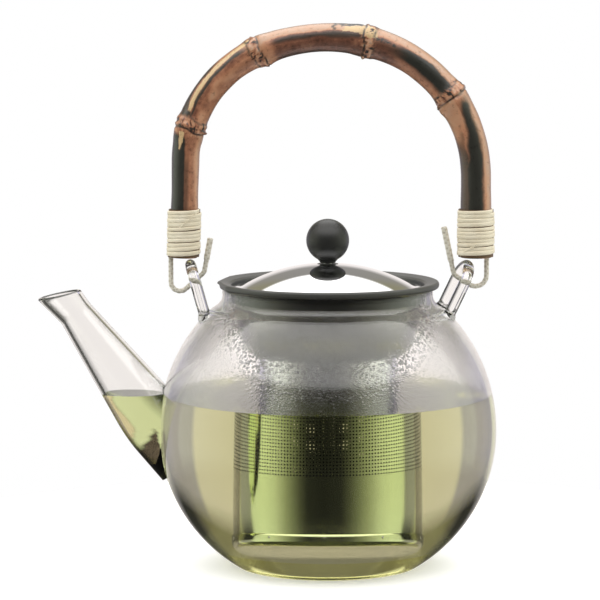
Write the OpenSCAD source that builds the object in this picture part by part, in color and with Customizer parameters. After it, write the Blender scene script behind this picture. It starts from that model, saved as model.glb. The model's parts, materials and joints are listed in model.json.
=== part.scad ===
// Glass teapot with a lift-out press infuser, a domed lid with a plunger, and a bamboo bail handle.
// Millimetres. +Z is up, the spout points to -X, the bail handle's arch lies in the XZ plane.
// The origin is the centre of the flat base, on the surface that the pot stands on.

/* [Glass jug] */
// Widest outside diameter of the jug
jug_d = 134; // [133:0.5:135]
// Height of the widest point above the base
jug_eq_z = 54; // [53.5:0.1:54.5]
// Vertical half-axis of the lower bowl
jug_low_b = 63.9; // [63:0.1:64.5]
// Vertical half-axis of the upper shoulder
jug_up_b = 67; // [66.5:0.1:67.5]
// Glass wall thickness
glass_t = 2; // [1.6:0.1:2.2]
// Outside radius of the neck
neck_r = 41.7; // [41.7:0.1:42]
// Height of the neck's rim
rim_z = 110.9; // [110.6:0.05:110.9]

/* [Spout] */
// Outside radius of the spout just below its lip
spout_tip_r = 6.9; // [6.7:0.1:7.2]
// Outside radius of the spout where it turns into the jug
spout_root_r = 13.1; // [12.8:0.1:13.4]
// Angle of the spout above the horizontal
spout_angle = 54.3; // [53.8:0.1:54.8]
// How far the pouring lip leans out of the mouth
lip_out = 1; // [0.6:0.1:1.2]
// Glass thickness of the spout
spout_t = 1.6; // [1.4:0.1:1.8]

/* [Glass ears] */
// Radius of the glass rod that the ears are bent from
ear_rod_r = 2.2; // [2:0.1:2.2]
// Centre-line radius of the ear's bend
ear_bend_r = 6.2; // [6.1:0.1:6.3]
// Distance of each ear's eye from the pot's axis
ear_x = 52.6; // [52.4:0.1:52.8]
// Height of the ears' eyes, which is the handle's swing axis
ear_z = 114; // [113.8:0.1:114.1]
// Outward lean of the ear on the spout side
ear_lean_left = 15.5; // [14:0.5:18]
// Outward lean of the ear opposite the spout
ear_lean_right = 25.5; // [22:0.5:27]
// Turn of the spout-side ear about its own legs
ear_twist_left = 3; // [0:1:4]
// Turn of the other ear about its own legs
ear_twist_right = 14; // [8:1:15]

/* [Bail handle] */
// Radius of the arch over the leg opposite the spout
arch_r_right = 54.8; // [54.4:0.1:55.2]
// Radius of the arch's flatter top
arch_r_top = 71; // [70.5:0.1:71.5]
// Radius of the arch over the spout-side leg
arch_r_left = 47.5; // [47.2:0.1:47.8]
// Height at which the far leg turns into the arch
arch_z = 154.5; // [154:0.1:156]
// Bamboo radius at the spout-side end
cane_r_left = 5.8; // [5.7:0.1:5.9]
// Bamboo radius at the other end
cane_r_right = 6.5; // [6.3:0.1:6.6]
// Height of the bamboo's cut ends
cane_end_z = 122.9; // [122.8:0.1:123.4]
// Thickness of the rattan binding
wrap_t = 1.05; // [0.9:0.05:1.1]
// Height of the top of the binding
wrap_top_z = 142.4; // [141:0.2:143]

/* [Handle hooks] */
// Radius of the spring-steel wire
wire_r = 0.8; // [0.7:0.05:0.85]
// Outside radius of the sleeve over the wire
sleeve_r = 1; // [1:0.05:1.05]
// Outside radius of the thicker sleeve on the hook's free end
grip_r = 1.25; // [1.2:0.05:1.3]
// Distance of the spout-side hook's bound leg from the pot's axis
hook_x_left = 62; // [61.8:0.1:62.2]
// Distance of the other hook's bound leg from the pot's axis
hook_x_right = 62.8; // [62.6:0.1:63]
// Height of the spout-side hook's free end
hook_end_left = 130.5; // [128:0.5:132]
// Height of the other hook's free end
hook_end_right = 135; // [132:0.5:135]
// Lean of the spout-side hook's free end towards the pot
hook_lean_left = 10.5; // [9:0.5:12]
// Lean of the other hook's free end towards the pot
hook_lean_right = 12; // [10:0.5:12]

/* [Infuser] */
// Outside radius of the steel infuser
inf_r = 27.9; // [27.7:0.1:27.9]
// Thickness of the steel sheet
inf_t = 0.5; // [0.4:0.05:0.5]
// Height of the infuser's bottom above the surface
inf_z = 19; // [17:0.5:20]
// Height at which the funnel meets the straight tube
funnel_z = 84; // [82:0.5:86]
// Outside radius of the collar's flange
collar_r = 44.1; // [43.8:0.1:44.2]
// Height of the collar's highest line
collar_top_z = 113.8; // [113.6:0.1:114]
// Outside radius of the collar's skirt
skirt_r = 38.2; // [38:0.1:38.3]
// Height of the skirt's lower edge
skirt_z = 105.3; // [104.8:0.1:105.8]

/* [Lid] */
// Radius of the lid's flat edge
lid_r = 37.9; // [37.7:0.1:37.9]
// Height of the dome's top
lid_top_z = 120.5; // [120.2:0.1:120.7]
// Radius at which the dome rises from the flat edge
dome_r = 34.4; // [34:0.1:34.6]
// Steel thickness of the dome
lid_t = 0.6; // [0.5:0.05:0.7]

/* [Plunger] */
// Diameter of the ball knob
knob_d = 17; // [16.6:0.1:17.2]
// Radius of the knob's neck
knob_neck_r = 3.2; // [3:0.1:3.4]
// Radius of the plunger rod
rod_r = 2; // [1.9:0.05:2]
// Height of the press disc's underside, plunger down
disc_z = 41.5; // [38:0.5:43]
// Thickness of the press disc
disc_t = 0.8; // [0.6:0.1:1]

/* [Hidden] */
$fn = 96;
eps = 0.01;
jug_r = jug_d / 2;
base_t = 2.6;
shoulder_z = 101.3;         // where the shoulder starts to turn up into the neck
neck_in_r = neck_r - glass_t;

// ---- glass jug -------------------------------------------------------------
// Radius of the jug's half-ellipses at height z, taken in by t on every side
function jug_radius(z, t) =
  z < jug_eq_z
    ? (jug_r - t) * sqrt(1 - pow((jug_eq_z - z) / (jug_low_b - t), 2))
    : (jug_r - t) * sqrt(1 - pow((z - jug_eq_z) / (jug_up_b - t), 2));
function bez(a, b, c, d, t) =
  pow(1 - t, 3) * a + 3 * pow(1 - t, 2) * t * b + 3 * (1 - t) * t * t * c + pow(t, 3) * d;
// Half-profile from the axis at height z0 up to the neck, taken in by t
function jug_side(t, z0) =
  let (zs = shoulder_z - 0.3 * t, n = 30,
       p0 = [jug_radius(zs, t), zs],
       p1 = [45.4 - 0.75 * t, 103.4 - 0.8 * t],
       p2 = [neck_r + 0.1 - t, 104.2 - 0.8 * t],
       p3 = [neck_r - t, 108.2])
  concat(
    [for (i = [0 : n]) let (z = z0 + (zs - z0) * (1 - cos(180 * i / n)) / 2) [jug_radius(z, t), z]],
    [for (i = [1 : 10]) bez(p0, p1, p2, p3, i / 10)]);

// The jug's outside as one solid, for the jug itself and for what is fused to it
module jug_outside() {
  rotate_extrude() polygon(concat([[0, 0]], jug_side(0, 0), [[neck_r, rim_z - 0.6], [neck_r - 0.6, rim_z], [0, rim_z]]));
}
module jug_inside() {
  rotate_extrude() polygon(concat([[0, base_t]], jug_side(glass_t, base_t),
    [[neck_in_r, rim_z - 0.6], [neck_in_r + 0.6, rim_z], [neck_in_r + 0.6, rim_z + 1], [0, rim_z + 1]]));
}
module glass_jug() {
  color([0.86, 0.9, 0.9, 0.35]) difference() {
    jug_outside();
    jug_inside();
    spout_body(spout_t);
  }
}

// ---- spout -----------------------------------------------------------------
// The spout is a cone along one axis, a ball where it turns, and a tube into the jug.
spout_knee = [-69.5, 0, 58.5];
spout_len = 52;             // from the knee to the start of the lip
spout_dir = [-cos(spout_angle), 0, sin(spout_angle)];
module along_spout(d) {     // moves to d mm from the knee, turned so that +Z runs to the mouth
  translate(spout_knee + d * spout_dir) rotate([0, -(90 - spout_angle), 0]) children();
}
module spout_body(t) {
  along_spout(0) cylinder(h = spout_len, r1 = spout_root_r - t, r2 = spout_tip_r - t);
  translate(spout_knee) sphere(r = spout_root_r - t + 0.02);
  translate(spout_knee) rotate([0, 139.5, 0]) cylinder(h = 22, r = spout_root_r - t);
}
// The last part leans outwards as a pouring lip. It is longer than needed and the mouth cut ends it.
module spout_lip(t) {
  hull() {
    along_spout(spout_len - eps) cylinder(h = eps, r = spout_tip_r - t, $fn = 32);
    along_spout(spout_len + 15) translate([-lip_out, 0, 0])
      cylinder(h = 2, r = spout_tip_r + 0.9 + lip_out * 0.5 - t, $fn = 32);
  }
}
module mouth_cut() {        // everything above the slanted mouth
  translate([-114.2, -30, 106.6]) rotate([0, -11.9, 0]) translate([-20, 0, 0]) cube([70, 60, 40]);
}
module glass_spout() {
  color([0.86, 0.9, 0.9, 0.35]) difference() {
    union() { spout_body(0); spout_lip(0); }
    spout_body(spout_t);
    spout_lip(spout_t);
    mouth_cut();
    jug_outside();
  }
}

// ---- ears ------------------------------------------------------------------
// A hairpin of glass rod whose two legs are fused to the shoulder. side is -1 on the spout side.
module ear(side, lean, twist) {
  difference() {
    translate([side * ear_x, 0, ear_z]) rotate([0, side * lean, 0]) rotate([0, 0, twist]) {
      rotate([90, 0, 90]) rotate_extrude(angle = 180) translate([ear_bend_r, 0]) circle(r = ear_rod_r);
      for (y = [-1, 1]) translate([0, y * ear_bend_r, -21]) cylinder(h = 21, r = ear_rod_r);
    }
    jug_outside();
  }
}
module glass_ear_left() { color([0.86, 0.9, 0.9, 0.35]) ear(-1, ear_lean_left, ear_twist_left); }
module glass_ear_right() { color([0.86, 0.9, 0.9, 0.35]) ear(1, ear_lean_right, ear_twist_right); }

// ---- bail handle -----------------------------------------------------------
// Arc of a round bar in the XZ plane: centre c, bend radius br, bar radius r, from a0 over da degrees
module bent_bar(c, br, r, a0, da) {
  translate([c[0], 0, c[1]]) rotate([90, 0, 0]) rotate([0, 0, a0])
    rotate_extrude(angle = da) translate([br, 0]) circle(r = r);
}
// The arch has three arcs that meet at two of the bamboo's nodes; the other two nodes lie within arcs.
leg_x = 58.5;
a_top = 78.4;
a_left = 112.4;
a_end = 178.5;              // the spout-side leg leans out a little
function dir(a) = [cos(a), sin(a)];
c_right = [leg_x - arch_r_right, arch_z];
c_top = c_right + (arch_r_right - arch_r_top) * dir(a_top);
c_left = c_top + (arch_r_top - arch_r_left) * dir(a_left);
leg_end = c_left + arch_r_left * dir(a_end);
a_low = 163.5;              // node on the spout-side haunch
a_high = 35;                // node on the far haunch
cane_arcs = [               // centre, bend radius, from, to
  [c_right, arch_r_right, 0, a_high], [c_right, arch_r_right, a_high, a_top],
  [c_top, arch_r_top, a_top, a_left],
  [c_left, arch_r_left, a_left, a_low], [c_left, arch_r_left, a_low, a_end]];
function cane_r(i) = cane_r_right + (cane_r_left - cane_r_right) * i / (len(cane_arcs) - 1);
module node_ring(i) {       // a raised scar ring where arc i begins
  c = cane_arcs[i][0] + cane_arcs[i][1] * dir(cane_arcs[i][2]);
  r = cane_r(i - 1);
  translate([c[0], 0, c[1]]) rotate([0, -cane_arcs[i][2], 0]) {
    translate([0, 0, -2.2]) cylinder(h = 2.2, r1 = r - 0.6, r2 = r + 0.8);
    translate([0, 0, -0.3]) cylinder(h = 0.9, r = r + 0.9);
    translate([0, 0, 0.3]) cylinder(h = 2.6, r1 = r + 0.9, r2 = r - 0.7);
  }
}
module cane_leg(side, r, dz) {  // the straight end of the cane, from its cut end up past the start of the arch
  if (side > 0) translate([leg_x, 0, cane_end_z - dz]) cylinder(h = arch_z + 0.5 + dz - cane_end_z, r = r);
  else translate([leg_end[0], 0, leg_end[1]]) rotate([0, 180 - a_end, 0])
    translate([0, 0, cane_end_z - dz - leg_end[1]]) cylinder(h = leg_end[1] + 0.5 + dz - cane_end_z, r = r);
}
module bamboo_handle() {
  color("peru") difference() {
    union() {
      for (i = [0 : len(cane_arcs) - 1]) let (k = cane_arcs[i])
        bent_bar(k[0], k[1], cane_r(i), k[2] - (i > 0 ? 0.4 : 0), k[3] - k[2] + (i > 0 ? 0.8 : 0.4));
      for (i = [1 : len(cane_arcs) - 1]) node_ring(i);
      cane_leg(1, cane_r(0) - 0.03, 0);
      cane_leg(-1, cane_r(len(cane_arcs) - 1) - 0.03, 0);
    }
    for (s = [-1, 1]) hook_channel(s);
  }
}
module wrap(side, r) {
  difference() {
    intersection() {
      cane_leg(side, r + wrap_t, 0.02);
      translate([-100, -20, cane_end_z - 1]) cube([200, 40, wrap_top_z - cane_end_z + 1]);
    }
    cane_leg(side, r - 0.01, 2);
    hook_channel(side);
  }
}
module rattan_wrap_left() { color("wheat") wrap(-1, cane_r(len(cane_arcs) - 1)); }
module rattan_wrap_right() { color("wheat") wrap(1, cane_r(0)); }

// ---- hooks -----------------------------------------------------------------
// Each hook runs down from the binding, round a bend under the ear, through its eye and up beside it.
k_r = 3;                    // bend radius at the top of the stretch through the eye
function eye_angle(side) = side < 0 ? 42 : 32;  // slope of that stretch
function hook_x(side) = side < 0 ? hook_x_left : hook_x_right;
function hook_end(side) = side < 0 ? hook_end_left : hook_end_right;
function hook_lean(side) = side < 0 ? hook_lean_left : hook_lean_right;
function hook_dz(side) = side < 0 ? -0.4 : 0.3;
function eye_pt(side, dx) = [ear_x + dx, ear_z + hook_dz(side) - dx * tan(eye_angle(side))];
function u_r(side) = (hook_x(side) - ear_x - 3.5) / (1 + sin(eye_angle(side)));
function u_c(side) = eye_pt(side, 3.5) + u_r(side) * [sin(eye_angle(side)), cos(eye_angle(side))];
function knee_pt(side) = eye_pt(side, side < 0 ? -3 : -1.6);
function k_c(side) = knee_pt(side) + k_r * [sin(eye_angle(side)), cos(eye_angle(side))];
function stick_pt(side) = k_c(side) - k_r * [cos(hook_lean(side)), sin(hook_lean(side))];
function stick_end(side, d) =
  let (p = stick_pt(side), h = hook_end(side) - d - p[1]) p + [-h * tan(hook_lean(side)), h];
module stick(p, q, r) {
  d = q - p;
  translate([p[0], 0, p[1]]) rotate([0, atan2(d[0], d[1]), 0]) cylinder(h = norm(d), r = r);
}
module bead(p, r) { translate([p[0], 0, p[1]]) sphere(r = r + 0.03); }
module at_side(side) { if (side < 0) mirror([1, 0, 0]) children(); else children(); }
module hook_path(side, r, z_top, d) {
  u = u_c(side);
  at_side(side) {
    translate([hook_x(side), 0, u[1]]) cylinder(h = z_top - u[1], r = r);
    bent_bar(u, u_r(side), r, -90 - eye_angle(side), 90 + eye_angle(side));
    stick(eye_pt(side, 3.5), knee_pt(side), r);
    bent_bar(k_c(side), k_r, r, 180 + hook_lean(side), 90 - eye_angle(side) - hook_lean(side));
    stick(stick_pt(side), stick_end(side, d), r);
    bead([hook_x(side), u[1]], r);
    bead(eye_pt(side, 3.5), r);
    bead(knee_pt(side), r);
    bead(stick_pt(side), r);
  }
}
module hook_channel(side) { // the hole that the hook's bound leg is held in
  translate([side * hook_x(side), 0, cane_end_z - 6]) cylinder(h = wrap_top_z - cane_end_z + 3.5, r = wire_r + 0.02);
}
module hook_wire(side) { hook_path(side, wire_r, wrap_top_z - 3, 1.2); }
module hook_sleeve(side) {
  difference() {
    union() {
      hook_path(side, sleeve_r, cane_end_z - 0.3, 0);
      at_side(side) stick(stick_pt(side) + 4.2 * [-sin(hook_lean(side)), cos(hook_lean(side))], stick_end(side, 0), grip_r);
    }
    hook_path(side, wire_r + 0.02, cane_end_z + 3, -3);
  }
}
module hook_wire_left() { color("silver") hook_wire(-1); }
module hook_wire_right() { color("silver") hook_wire(1); }
module hook_sleeve_left() { color("tan") hook_sleeve(-1); }
module hook_sleeve_right() { color("tan") hook_sleeve(1); }

// ---- infuser ---------------------------------------------------------------
ledge_z = 110.7;            // the lid rests here
recess_r = 38.3;
flange_z = 110.95;
bore_r = 36.6;
module infuser_collar() {
  color([0.12, 0.12, 0.12]) difference() {
    intersection() {
      rotate_extrude() polygon([
        [bore_r, skirt_z], [skirt_r, skirt_z], [skirt_r, flange_z],
        [collar_r - 0.9, flange_z], [collar_r - 0.25, flange_z + 0.3], [collar_r, flange_z + 0.95],
        [collar_r, collar_top_z - 0.9], [collar_r - 0.3, collar_top_z - 0.3], [collar_r - 1, collar_top_z],
        [collar_r - 1.8, collar_top_z], [recess_r + 0.5, collar_top_z - 1], [recess_r, collar_top_z - 1.5],
        [recess_r, ledge_z], [bore_r, ledge_z]]);
      // the flange comes to a blunt beak over the spout
      translate([0, 0, 90]) linear_extrude(height = 40) polygon([
        [-43.7, 0], [-39.9, -18.8], [-35, -60], [60, -60], [60, 60], [-35, 60], [-39.9, 18.8]]);
    }
    // the beak stands out over a set-back underside
    translate([-60, -12, flange_z - 1]) cube([60 - 42.6, 24, 2.3]);
  }
}
module collar_seal() {
  color([0.2, 0.2, 0.2]) rotate_extrude() polygon([
    [skirt_r + 0.02, 108.4], [38.9, 108.4], [39.4, 108.9], [39.4, 109.5], [38.9, 110], [skirt_r + 0.02, 110]]);
}
bowl_top_z = 103;
module infuser_funnel() {   // a drawn bowl between the collar and the tube
  a = bore_r - 0.05 - inf_r;
  b = bowl_top_z - funnel_z - 0.02;
  color([0.75, 0.76, 0.77]) rotate_extrude() polygon(concat(
    [[inf_r - inf_t, funnel_z + 0.02]],
    [for (i = [0 : 14]) let (t = 90 - i * 90 / 14) [inf_r + a * cos(t), bowl_top_z - b * sin(t)]],
    [[inf_r + a, ledge_z - 1.7], [inf_r + a - inf_t, ledge_z - 1.7]],
    [for (i = [0 : 14]) let (t = i * 90 / 14) [inf_r + (a - inf_t) * cos(t), bowl_top_z - (b - inf_t) * sin(t)]],
    [[inf_r - inf_t, funnel_z + 0.02 + inf_t]]));
}
module infuser_wall() {
  color([0.75, 0.76, 0.77]) rotate_extrude() polygon([
    [inf_r - inf_t, inf_z + 2.1], [inf_r, inf_z + 2.1], [inf_r, funnel_z], [inf_r - inf_t, funnel_z]]);
}
module infuser_base() {
  r = inf_r + 0.5;          // outside of the pressed cap
  c = 2;                    // its bottom corner
  color([0.75, 0.76, 0.77]) rotate_extrude() polygon(concat(
    [[0, inf_z]], [for (a = [-90 : 15 : 0]) [r - c + c * cos(a), inf_z + c + c * sin(a)]],
    [[r, inf_z + 4.2], [r - 0.45, inf_z + 4.2]],
    [for (a = [0 : -15 : -90]) [r - c + (c - 0.45) * cos(a), inf_z + c + (c - 0.45) * sin(a)]],
    [[0, inf_z + 0.45]]));
}

// ---- lid -------------------------------------------------------------------
rim_top = ledge_z + lid_t + 0.05;
dome_h = lid_top_z - rim_top;
dome_R = (dome_r * dome_r + dome_h * dome_h) / (2 * dome_h);
hole_r = 4.1;
function dome_z(r, t) = lid_top_z - dome_R + sqrt(pow(dome_R - t, 2) - r * r);
module lid_dome() {
  r_in = dome_r - 0.35;
  color([0.8, 0.8, 0.81]) rotate_extrude() polygon(concat(
    [[lid_r, rim_top - lid_t], [lid_r, rim_top], [dome_r + 0.2, rim_top]],
    [for (i = [0 : 22]) let (r = dome_r + (hole_r - dome_r) * i / 22) [r, dome_z(r, 0) + (i == 0 ? 0.05 : 0)]],
    [for (i = [0 : 22]) let (r = hole_r + (r_in - hole_r) * i / 22) [r, dome_z(r, lid_t)]],
    [[r_in + 0.2, rim_top - lid_t]]));
}
module lid_skirt() {
  color([0.14, 0.14, 0.14]) rotate_extrude() polygon([
    [33.4, 103.2], [34.8, 103.2], [35.2, 103.8], [35.55, rim_top - lid_t - 0.02],
    [34.35, rim_top - lid_t - 0.02], [33.4, 109.4]]);
}
module rod_bushing() {
  color([0.14, 0.14, 0.14]) rotate_extrude() polygon([
    [rod_r + 0.05, 115], [3.6, 115], [3.6, 118], [8, 118], [8, dome_z(8, lid_t) - 0.03],
    [hole_r - 0.05, dome_z(hole_r, lid_t) - 0.03],
    [hole_r - 0.05, lid_top_z - 0.05], [rod_r + 0.05, lid_top_z - 0.05]]);
}

// ---- plunger ---------------------------------------------------------------
knob_z = lid_top_z + 9.2;
rod_top_z = knob_z - 2.5;
module knob() {
  color([0.1, 0.1, 0.1]) difference() {
    union() {
      translate([0, 0, knob_z]) sphere(d = knob_d);
      translate([0, 0, lid_top_z + 0.3]) cylinder(h = 3, r = knob_neck_r);
    }
    translate([0, 0, lid_top_z - 1]) cylinder(h = rod_top_z + 0.2 - lid_top_z + 1, r = rod_r + 0.02);
  }
}
module plunger_rod() { color("silver") translate([0, 0, disc_z - 3.2]) cylinder(h = rod_top_z - disc_z + 3.2, r = rod_r); }
module plunger_hub() {
  color([0.14, 0.14, 0.14]) rotate_extrude() polygon([
    [rod_r + 0.02, disc_z + disc_t + 0.02], [9, disc_z + disc_t + 0.02], [9, disc_z + disc_t + 1.2],
    [4.5, disc_z + disc_t + 3], [4, disc_z + 6.8], [rod_r + 0.02, disc_z + 6.8]]);
}
module plunger_disc() {
  color([0.78, 0.78, 0.79]) difference() {
    rotate_extrude() polygon([
      [rod_r + 0.02, disc_z], [inf_r - 2, disc_z], [inf_r - 2, disc_z + disc_t], [rod_r + 0.02, disc_z + disc_t]]);
    // flow holes through the press plate
    for (a = [0 : 45 : 315], r = [13, 18]) rotate([0, 0, a + (r == 18 ? 22.5 : 0)])
      translate([r, 0, disc_z - 1]) cylinder(h = disc_t + 2, r = 1.2);
  }
}
module plunger_seal() {
  color([0.2, 0.2, 0.2]) rotate_extrude() polygon([
    [inf_r - 3.4, disc_z - 0.9], [inf_r - 1.4, disc_z - 0.9], [inf_r - 0.8, disc_z - 0.2], [inf_r - 0.8, disc_z + disc_t + 0.2],
    [inf_r - 1.4, disc_z + disc_t + 0.9], [inf_r - 3.4, disc_z + disc_t + 0.9], [inf_r - 3.4, disc_z + disc_t + 0.02],
    [inf_r - 1.98, disc_z + disc_t + 0.02], [inf_r - 1.98, disc_z - 0.02], [inf_r - 3.4, disc_z - 0.02]]);
}
module plunger_nut() {
  color("silver") translate([0, 0, disc_z - 2.9]) difference() {
    cylinder(h = 2.88, r = 4, $fn = 6);
    translate([0, 0, -1]) cylinder(h = 5, r = rod_r + 0.02);
  }
}

glass_jug();
glass_spout();
glass_ear_left();
glass_ear_right();
bamboo_handle();
rattan_wrap_left();
rattan_wrap_right();
hook_wire_left();
hook_wire_right();
hook_sleeve_left();
hook_sleeve_right();
infuser_collar();
collar_seal();
infuser_funnel();
infuser_wall();
infuser_base();
lid_dome();
lid_skirt();
rod_bushing();
knob();
plunger_rod();
plunger_hub();
plunger_disc();
plunger_seal();
plunger_nut();
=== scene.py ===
import bpy, bmesh, json, math
import numpy as np
from math import sin, cos, tan, pi, radians, degrees, sqrt, atan2
from mathutils import Vector, Matrix

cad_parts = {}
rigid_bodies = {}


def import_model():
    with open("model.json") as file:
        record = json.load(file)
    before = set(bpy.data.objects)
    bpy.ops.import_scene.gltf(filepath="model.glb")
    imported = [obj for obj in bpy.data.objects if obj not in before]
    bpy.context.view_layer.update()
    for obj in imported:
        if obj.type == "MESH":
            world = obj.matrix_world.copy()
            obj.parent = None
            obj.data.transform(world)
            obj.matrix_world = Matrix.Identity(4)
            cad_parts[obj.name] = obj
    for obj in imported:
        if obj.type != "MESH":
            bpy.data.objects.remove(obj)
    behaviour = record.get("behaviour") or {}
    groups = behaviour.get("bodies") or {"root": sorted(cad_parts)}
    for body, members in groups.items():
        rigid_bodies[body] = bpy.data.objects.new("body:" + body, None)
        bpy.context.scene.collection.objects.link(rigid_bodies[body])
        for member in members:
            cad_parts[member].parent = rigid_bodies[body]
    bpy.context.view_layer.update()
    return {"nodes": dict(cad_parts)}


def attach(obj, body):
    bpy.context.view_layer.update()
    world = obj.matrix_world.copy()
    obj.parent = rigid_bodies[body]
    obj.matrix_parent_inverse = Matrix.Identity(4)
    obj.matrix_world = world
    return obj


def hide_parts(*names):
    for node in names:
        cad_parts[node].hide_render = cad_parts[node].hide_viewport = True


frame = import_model()
MM = 0.001

# ---------------------------------------------------------------- node helpers
def new_mat(name):
    m = bpy.data.materials.new(name)
    m.use_nodes = True
    m.node_tree.nodes.clear()
    return m, m.node_tree

def nd(nt, kind, _props=None, **inputs):
    n = nt.nodes.new(kind)
    for k, v in (_props or {}).items():
        setattr(n, k, v)
    for k, v in inputs.items():
        key = k.replace("_", " ")
        sock = n.inputs[int(k[1:])] if k[0] == "i" and k[1:].isdigit() else n.inputs[key]
        if isinstance(v, bpy.types.NodeSocket):
            nt.links.new(v, sock)
        else:
            sock.default_value = v
    return n

def ramp(nt, fac, stops, mode="LINEAR"):
    n = nt.nodes.new("ShaderNodeValToRGB")
    n.color_ramp.interpolation = mode
    cr = n.color_ramp
    while len(cr.elements) < len(stops):
        cr.elements.new(1.0)
    for e, (p, c) in zip(cr.elements, stops):
        e.position = p
        e.color = (c, c, c, 1) if isinstance(c, (int, float)) else (*c, 1)
    nt.links.new(fac, n.inputs[0])
    return n.outputs[0]

def math_(nt, op, a, b=0.0, c=0.0, clamp=False):
    n = nt.nodes.new("ShaderNodeMath")
    n.operation = op
    n.use_clamp = clamp
    for i, v in enumerate((a, b, c)):
        if isinstance(v, bpy.types.NodeSocket):
            nt.links.new(v, n.inputs[i])
        else:
            n.inputs[i].default_value = v
    return n.outputs[0]

def mix_rgb(nt, fac, a, b, mode="MIX"):
    n = nt.nodes.new("ShaderNodeMix")
    n.data_type = "RGBA"
    n.blend_type = mode
    for key, v in ((0, fac), (6, a), (7, b)):
        if isinstance(v, bpy.types.NodeSocket):
            nt.links.new(v, n.inputs[key])
        else:
            n.inputs[key].default_value = v if key == 0 else (*v, 1)
    return n.outputs[2]

def coords(nt, scale=(1, 1, 1), rot=(0, 0, 0)):
    tc = nt.nodes.new("ShaderNodeTexCoord")
    mp = nd(nt, "ShaderNodeMapping", Vector=tc.outputs["Object"], Scale=scale, Rotation=rot)
    return mp.outputs[0]

def noise(nt, vec, scale, detail=3.0, rough=0.55, dist=0.0):
    return nd(nt, "ShaderNodeTexNoise", Vector=vec, Scale=scale, Detail=detail, Roughness=rough, Distortion=dist).outputs["Fac"]

def attr(nt, name):
    return nd(nt, "ShaderNodeAttribute", {"attribute_name": name}).outputs["Fac"]

def bump(nt, height, strength, dist, normal=None):
    kw = dict(Height=height, Strength=strength, Distance=dist)
    if normal is not None:
        kw["Normal"] = normal
    return nd(nt, "ShaderNodeBump", **kw).outputs[0]

def out(nt, shader, volume=None):
    o = nt.nodes.new("ShaderNodeOutputMaterial")
    nt.links.new(shader, o.inputs["Surface"])
    if volume is not None:
        nt.links.new(volume, o.inputs["Volume"])

# ---------------------------------------------------------------- mesh helpers
def make_obj(name, verts, faces, mats=(), smooth=True, mm=True):
    me = bpy.data.meshes.new(name)
    v = np.asarray(verts, float) * (MM if mm else 1.0)
    me.from_pydata([tuple(p) for p in v], [], [tuple(int(i) for i in f) for f in faces])
    me.validate(clean_customdata=False)
    ob = bpy.data.objects.new(name, me)
    bpy.context.scene.collection.objects.link(ob)
    for m in mats:
        me.materials.append(m)
    if smooth:
        me.polygons.foreach_set("use_smooth", [True] * len(me.polygons))
    me.update()
    return ob

def smooth_by_angle(ob, angle=35):
    me = ob.data
    me.polygons.foreach_set("use_smooth", [True] * len(me.polygons))
    me.set_sharp_from_angle(angle=radians(angle))

def fix_normals(ob):
    bm = bmesh.new()
    bm.from_mesh(ob.data)
    bmesh.ops.recalc_face_normals(bm, faces=bm.faces)
    bm.to_mesh(ob.data)
    bm.free()

def lathe(name, profile, seg=192, mats=(), closed=True, radial=None, phase=0.0):
    """A profile of (r, z) in mm turned about +Z. Points at r=0 become poles. radial(theta, r, z) -> r may shape it."""
    P = list(profile)
    n = len(P)
    verts, index = [], []
    for r, z in P:
        if r <= 1e-9:
            index.append([len(verts)] * seg)
            verts.append((0, 0, z))
        else:
            row = []
            for j in range(seg):
                t = 2 * pi * j / seg + phase
                rr = radial(t, r, z) if radial else r
                row.append(len(verts))
                verts.append((rr * cos(t), rr * sin(t), z))
            index.append(row)
    faces = []
    for i in range(n if closed else n - 1):
        a, b = index[i], index[(i + 1) % n]
        for j in range(seg):
            k = (j + 1) % seg
            q = [a[j], a[k], b[k], b[j]]
            f = []
            for x in q:
                if x not in f:
                    f.append(x)
            if len(f) >= 3:
                faces.append(f)
    ob = make_obj(name, verts, faces, mats)
    fix_normals(ob)
    return ob

def arc_pts(cx, cz, r, a0, a1, n):
    return [(cx + r * cos(radians(a0 + (a1 - a0) * i / n)), cz + r * sin(radians(a0 + (a1 - a0) * i / n))) for i in range(n + 1)]

def rounded(poly, radii, n=5):
    """A closed (r, z) polygon with each corner rounded by its own radius."""
    outp, m = [], len(poly)
    for i, p in enumerate(poly):
        a, b, c = np.array(poly[i - 1], float), np.array(p, float), np.array(poly[(i + 1) % m], float)
        r = radii[i] if isinstance(radii, (list, tuple)) else radii
        u, w = a - b, c - b
        lu, lw = np.linalg.norm(u), np.linalg.norm(w)
        u, w = u / lu, w / lw
        ang = math.acos(max(-1, min(1, float(u @ w))))
        if r <= 1e-6 or abs(ang - pi) < 1e-3:
            outp.append(tuple(b))
            continue
        d = min(r / tan(ang / 2), 0.45 * lu, 0.45 * lw)
        rr = d * tan(ang / 2)
        bis = (u + w) / np.linalg.norm(u + w)
        cen = b + bis * (rr / sin(ang / 2))
        p0, p1 = b + u * d, b + w * d
        a0, a1 = atan2(*(p0 - cen)[::-1]), atan2(*(p1 - cen)[::-1])
        while a1 - a0 > pi: a1 -= 2 * pi
        while a1 - a0 < -pi: a1 += 2 * pi
        for k in range(n + 1):
            t = a0 + (a1 - a0) * k / n
            outp.append((cen[0] + rr * cos(t), cen[1] + rr * sin(t)))
    return outp

def boolean(a, b, op):
    """a op b by Blender's manifold solver, applied; b is removed."""
    m = a.modifiers.new("b", "BOOLEAN")
    m.operation = op
    m.object = b
    m.solver = "MANIFOLD"
    dg = bpy.context.evaluated_depsgraph_get()
    me = bpy.data.meshes.new_from_object(a.evaluated_get(dg))
    old = a.data
    a.modifiers.clear()
    a.data = me
    bpy.data.meshes.remove(old)
    mb = b.data
    bpy.data.objects.remove(b)
    bpy.data.meshes.remove(mb)
    return a

def copy_of(ob, name):
    c = ob.copy()
    c.data = ob.data.copy()
    c.name = name
    bpy.context.scene.collection.objects.link(c)
    return c

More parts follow.
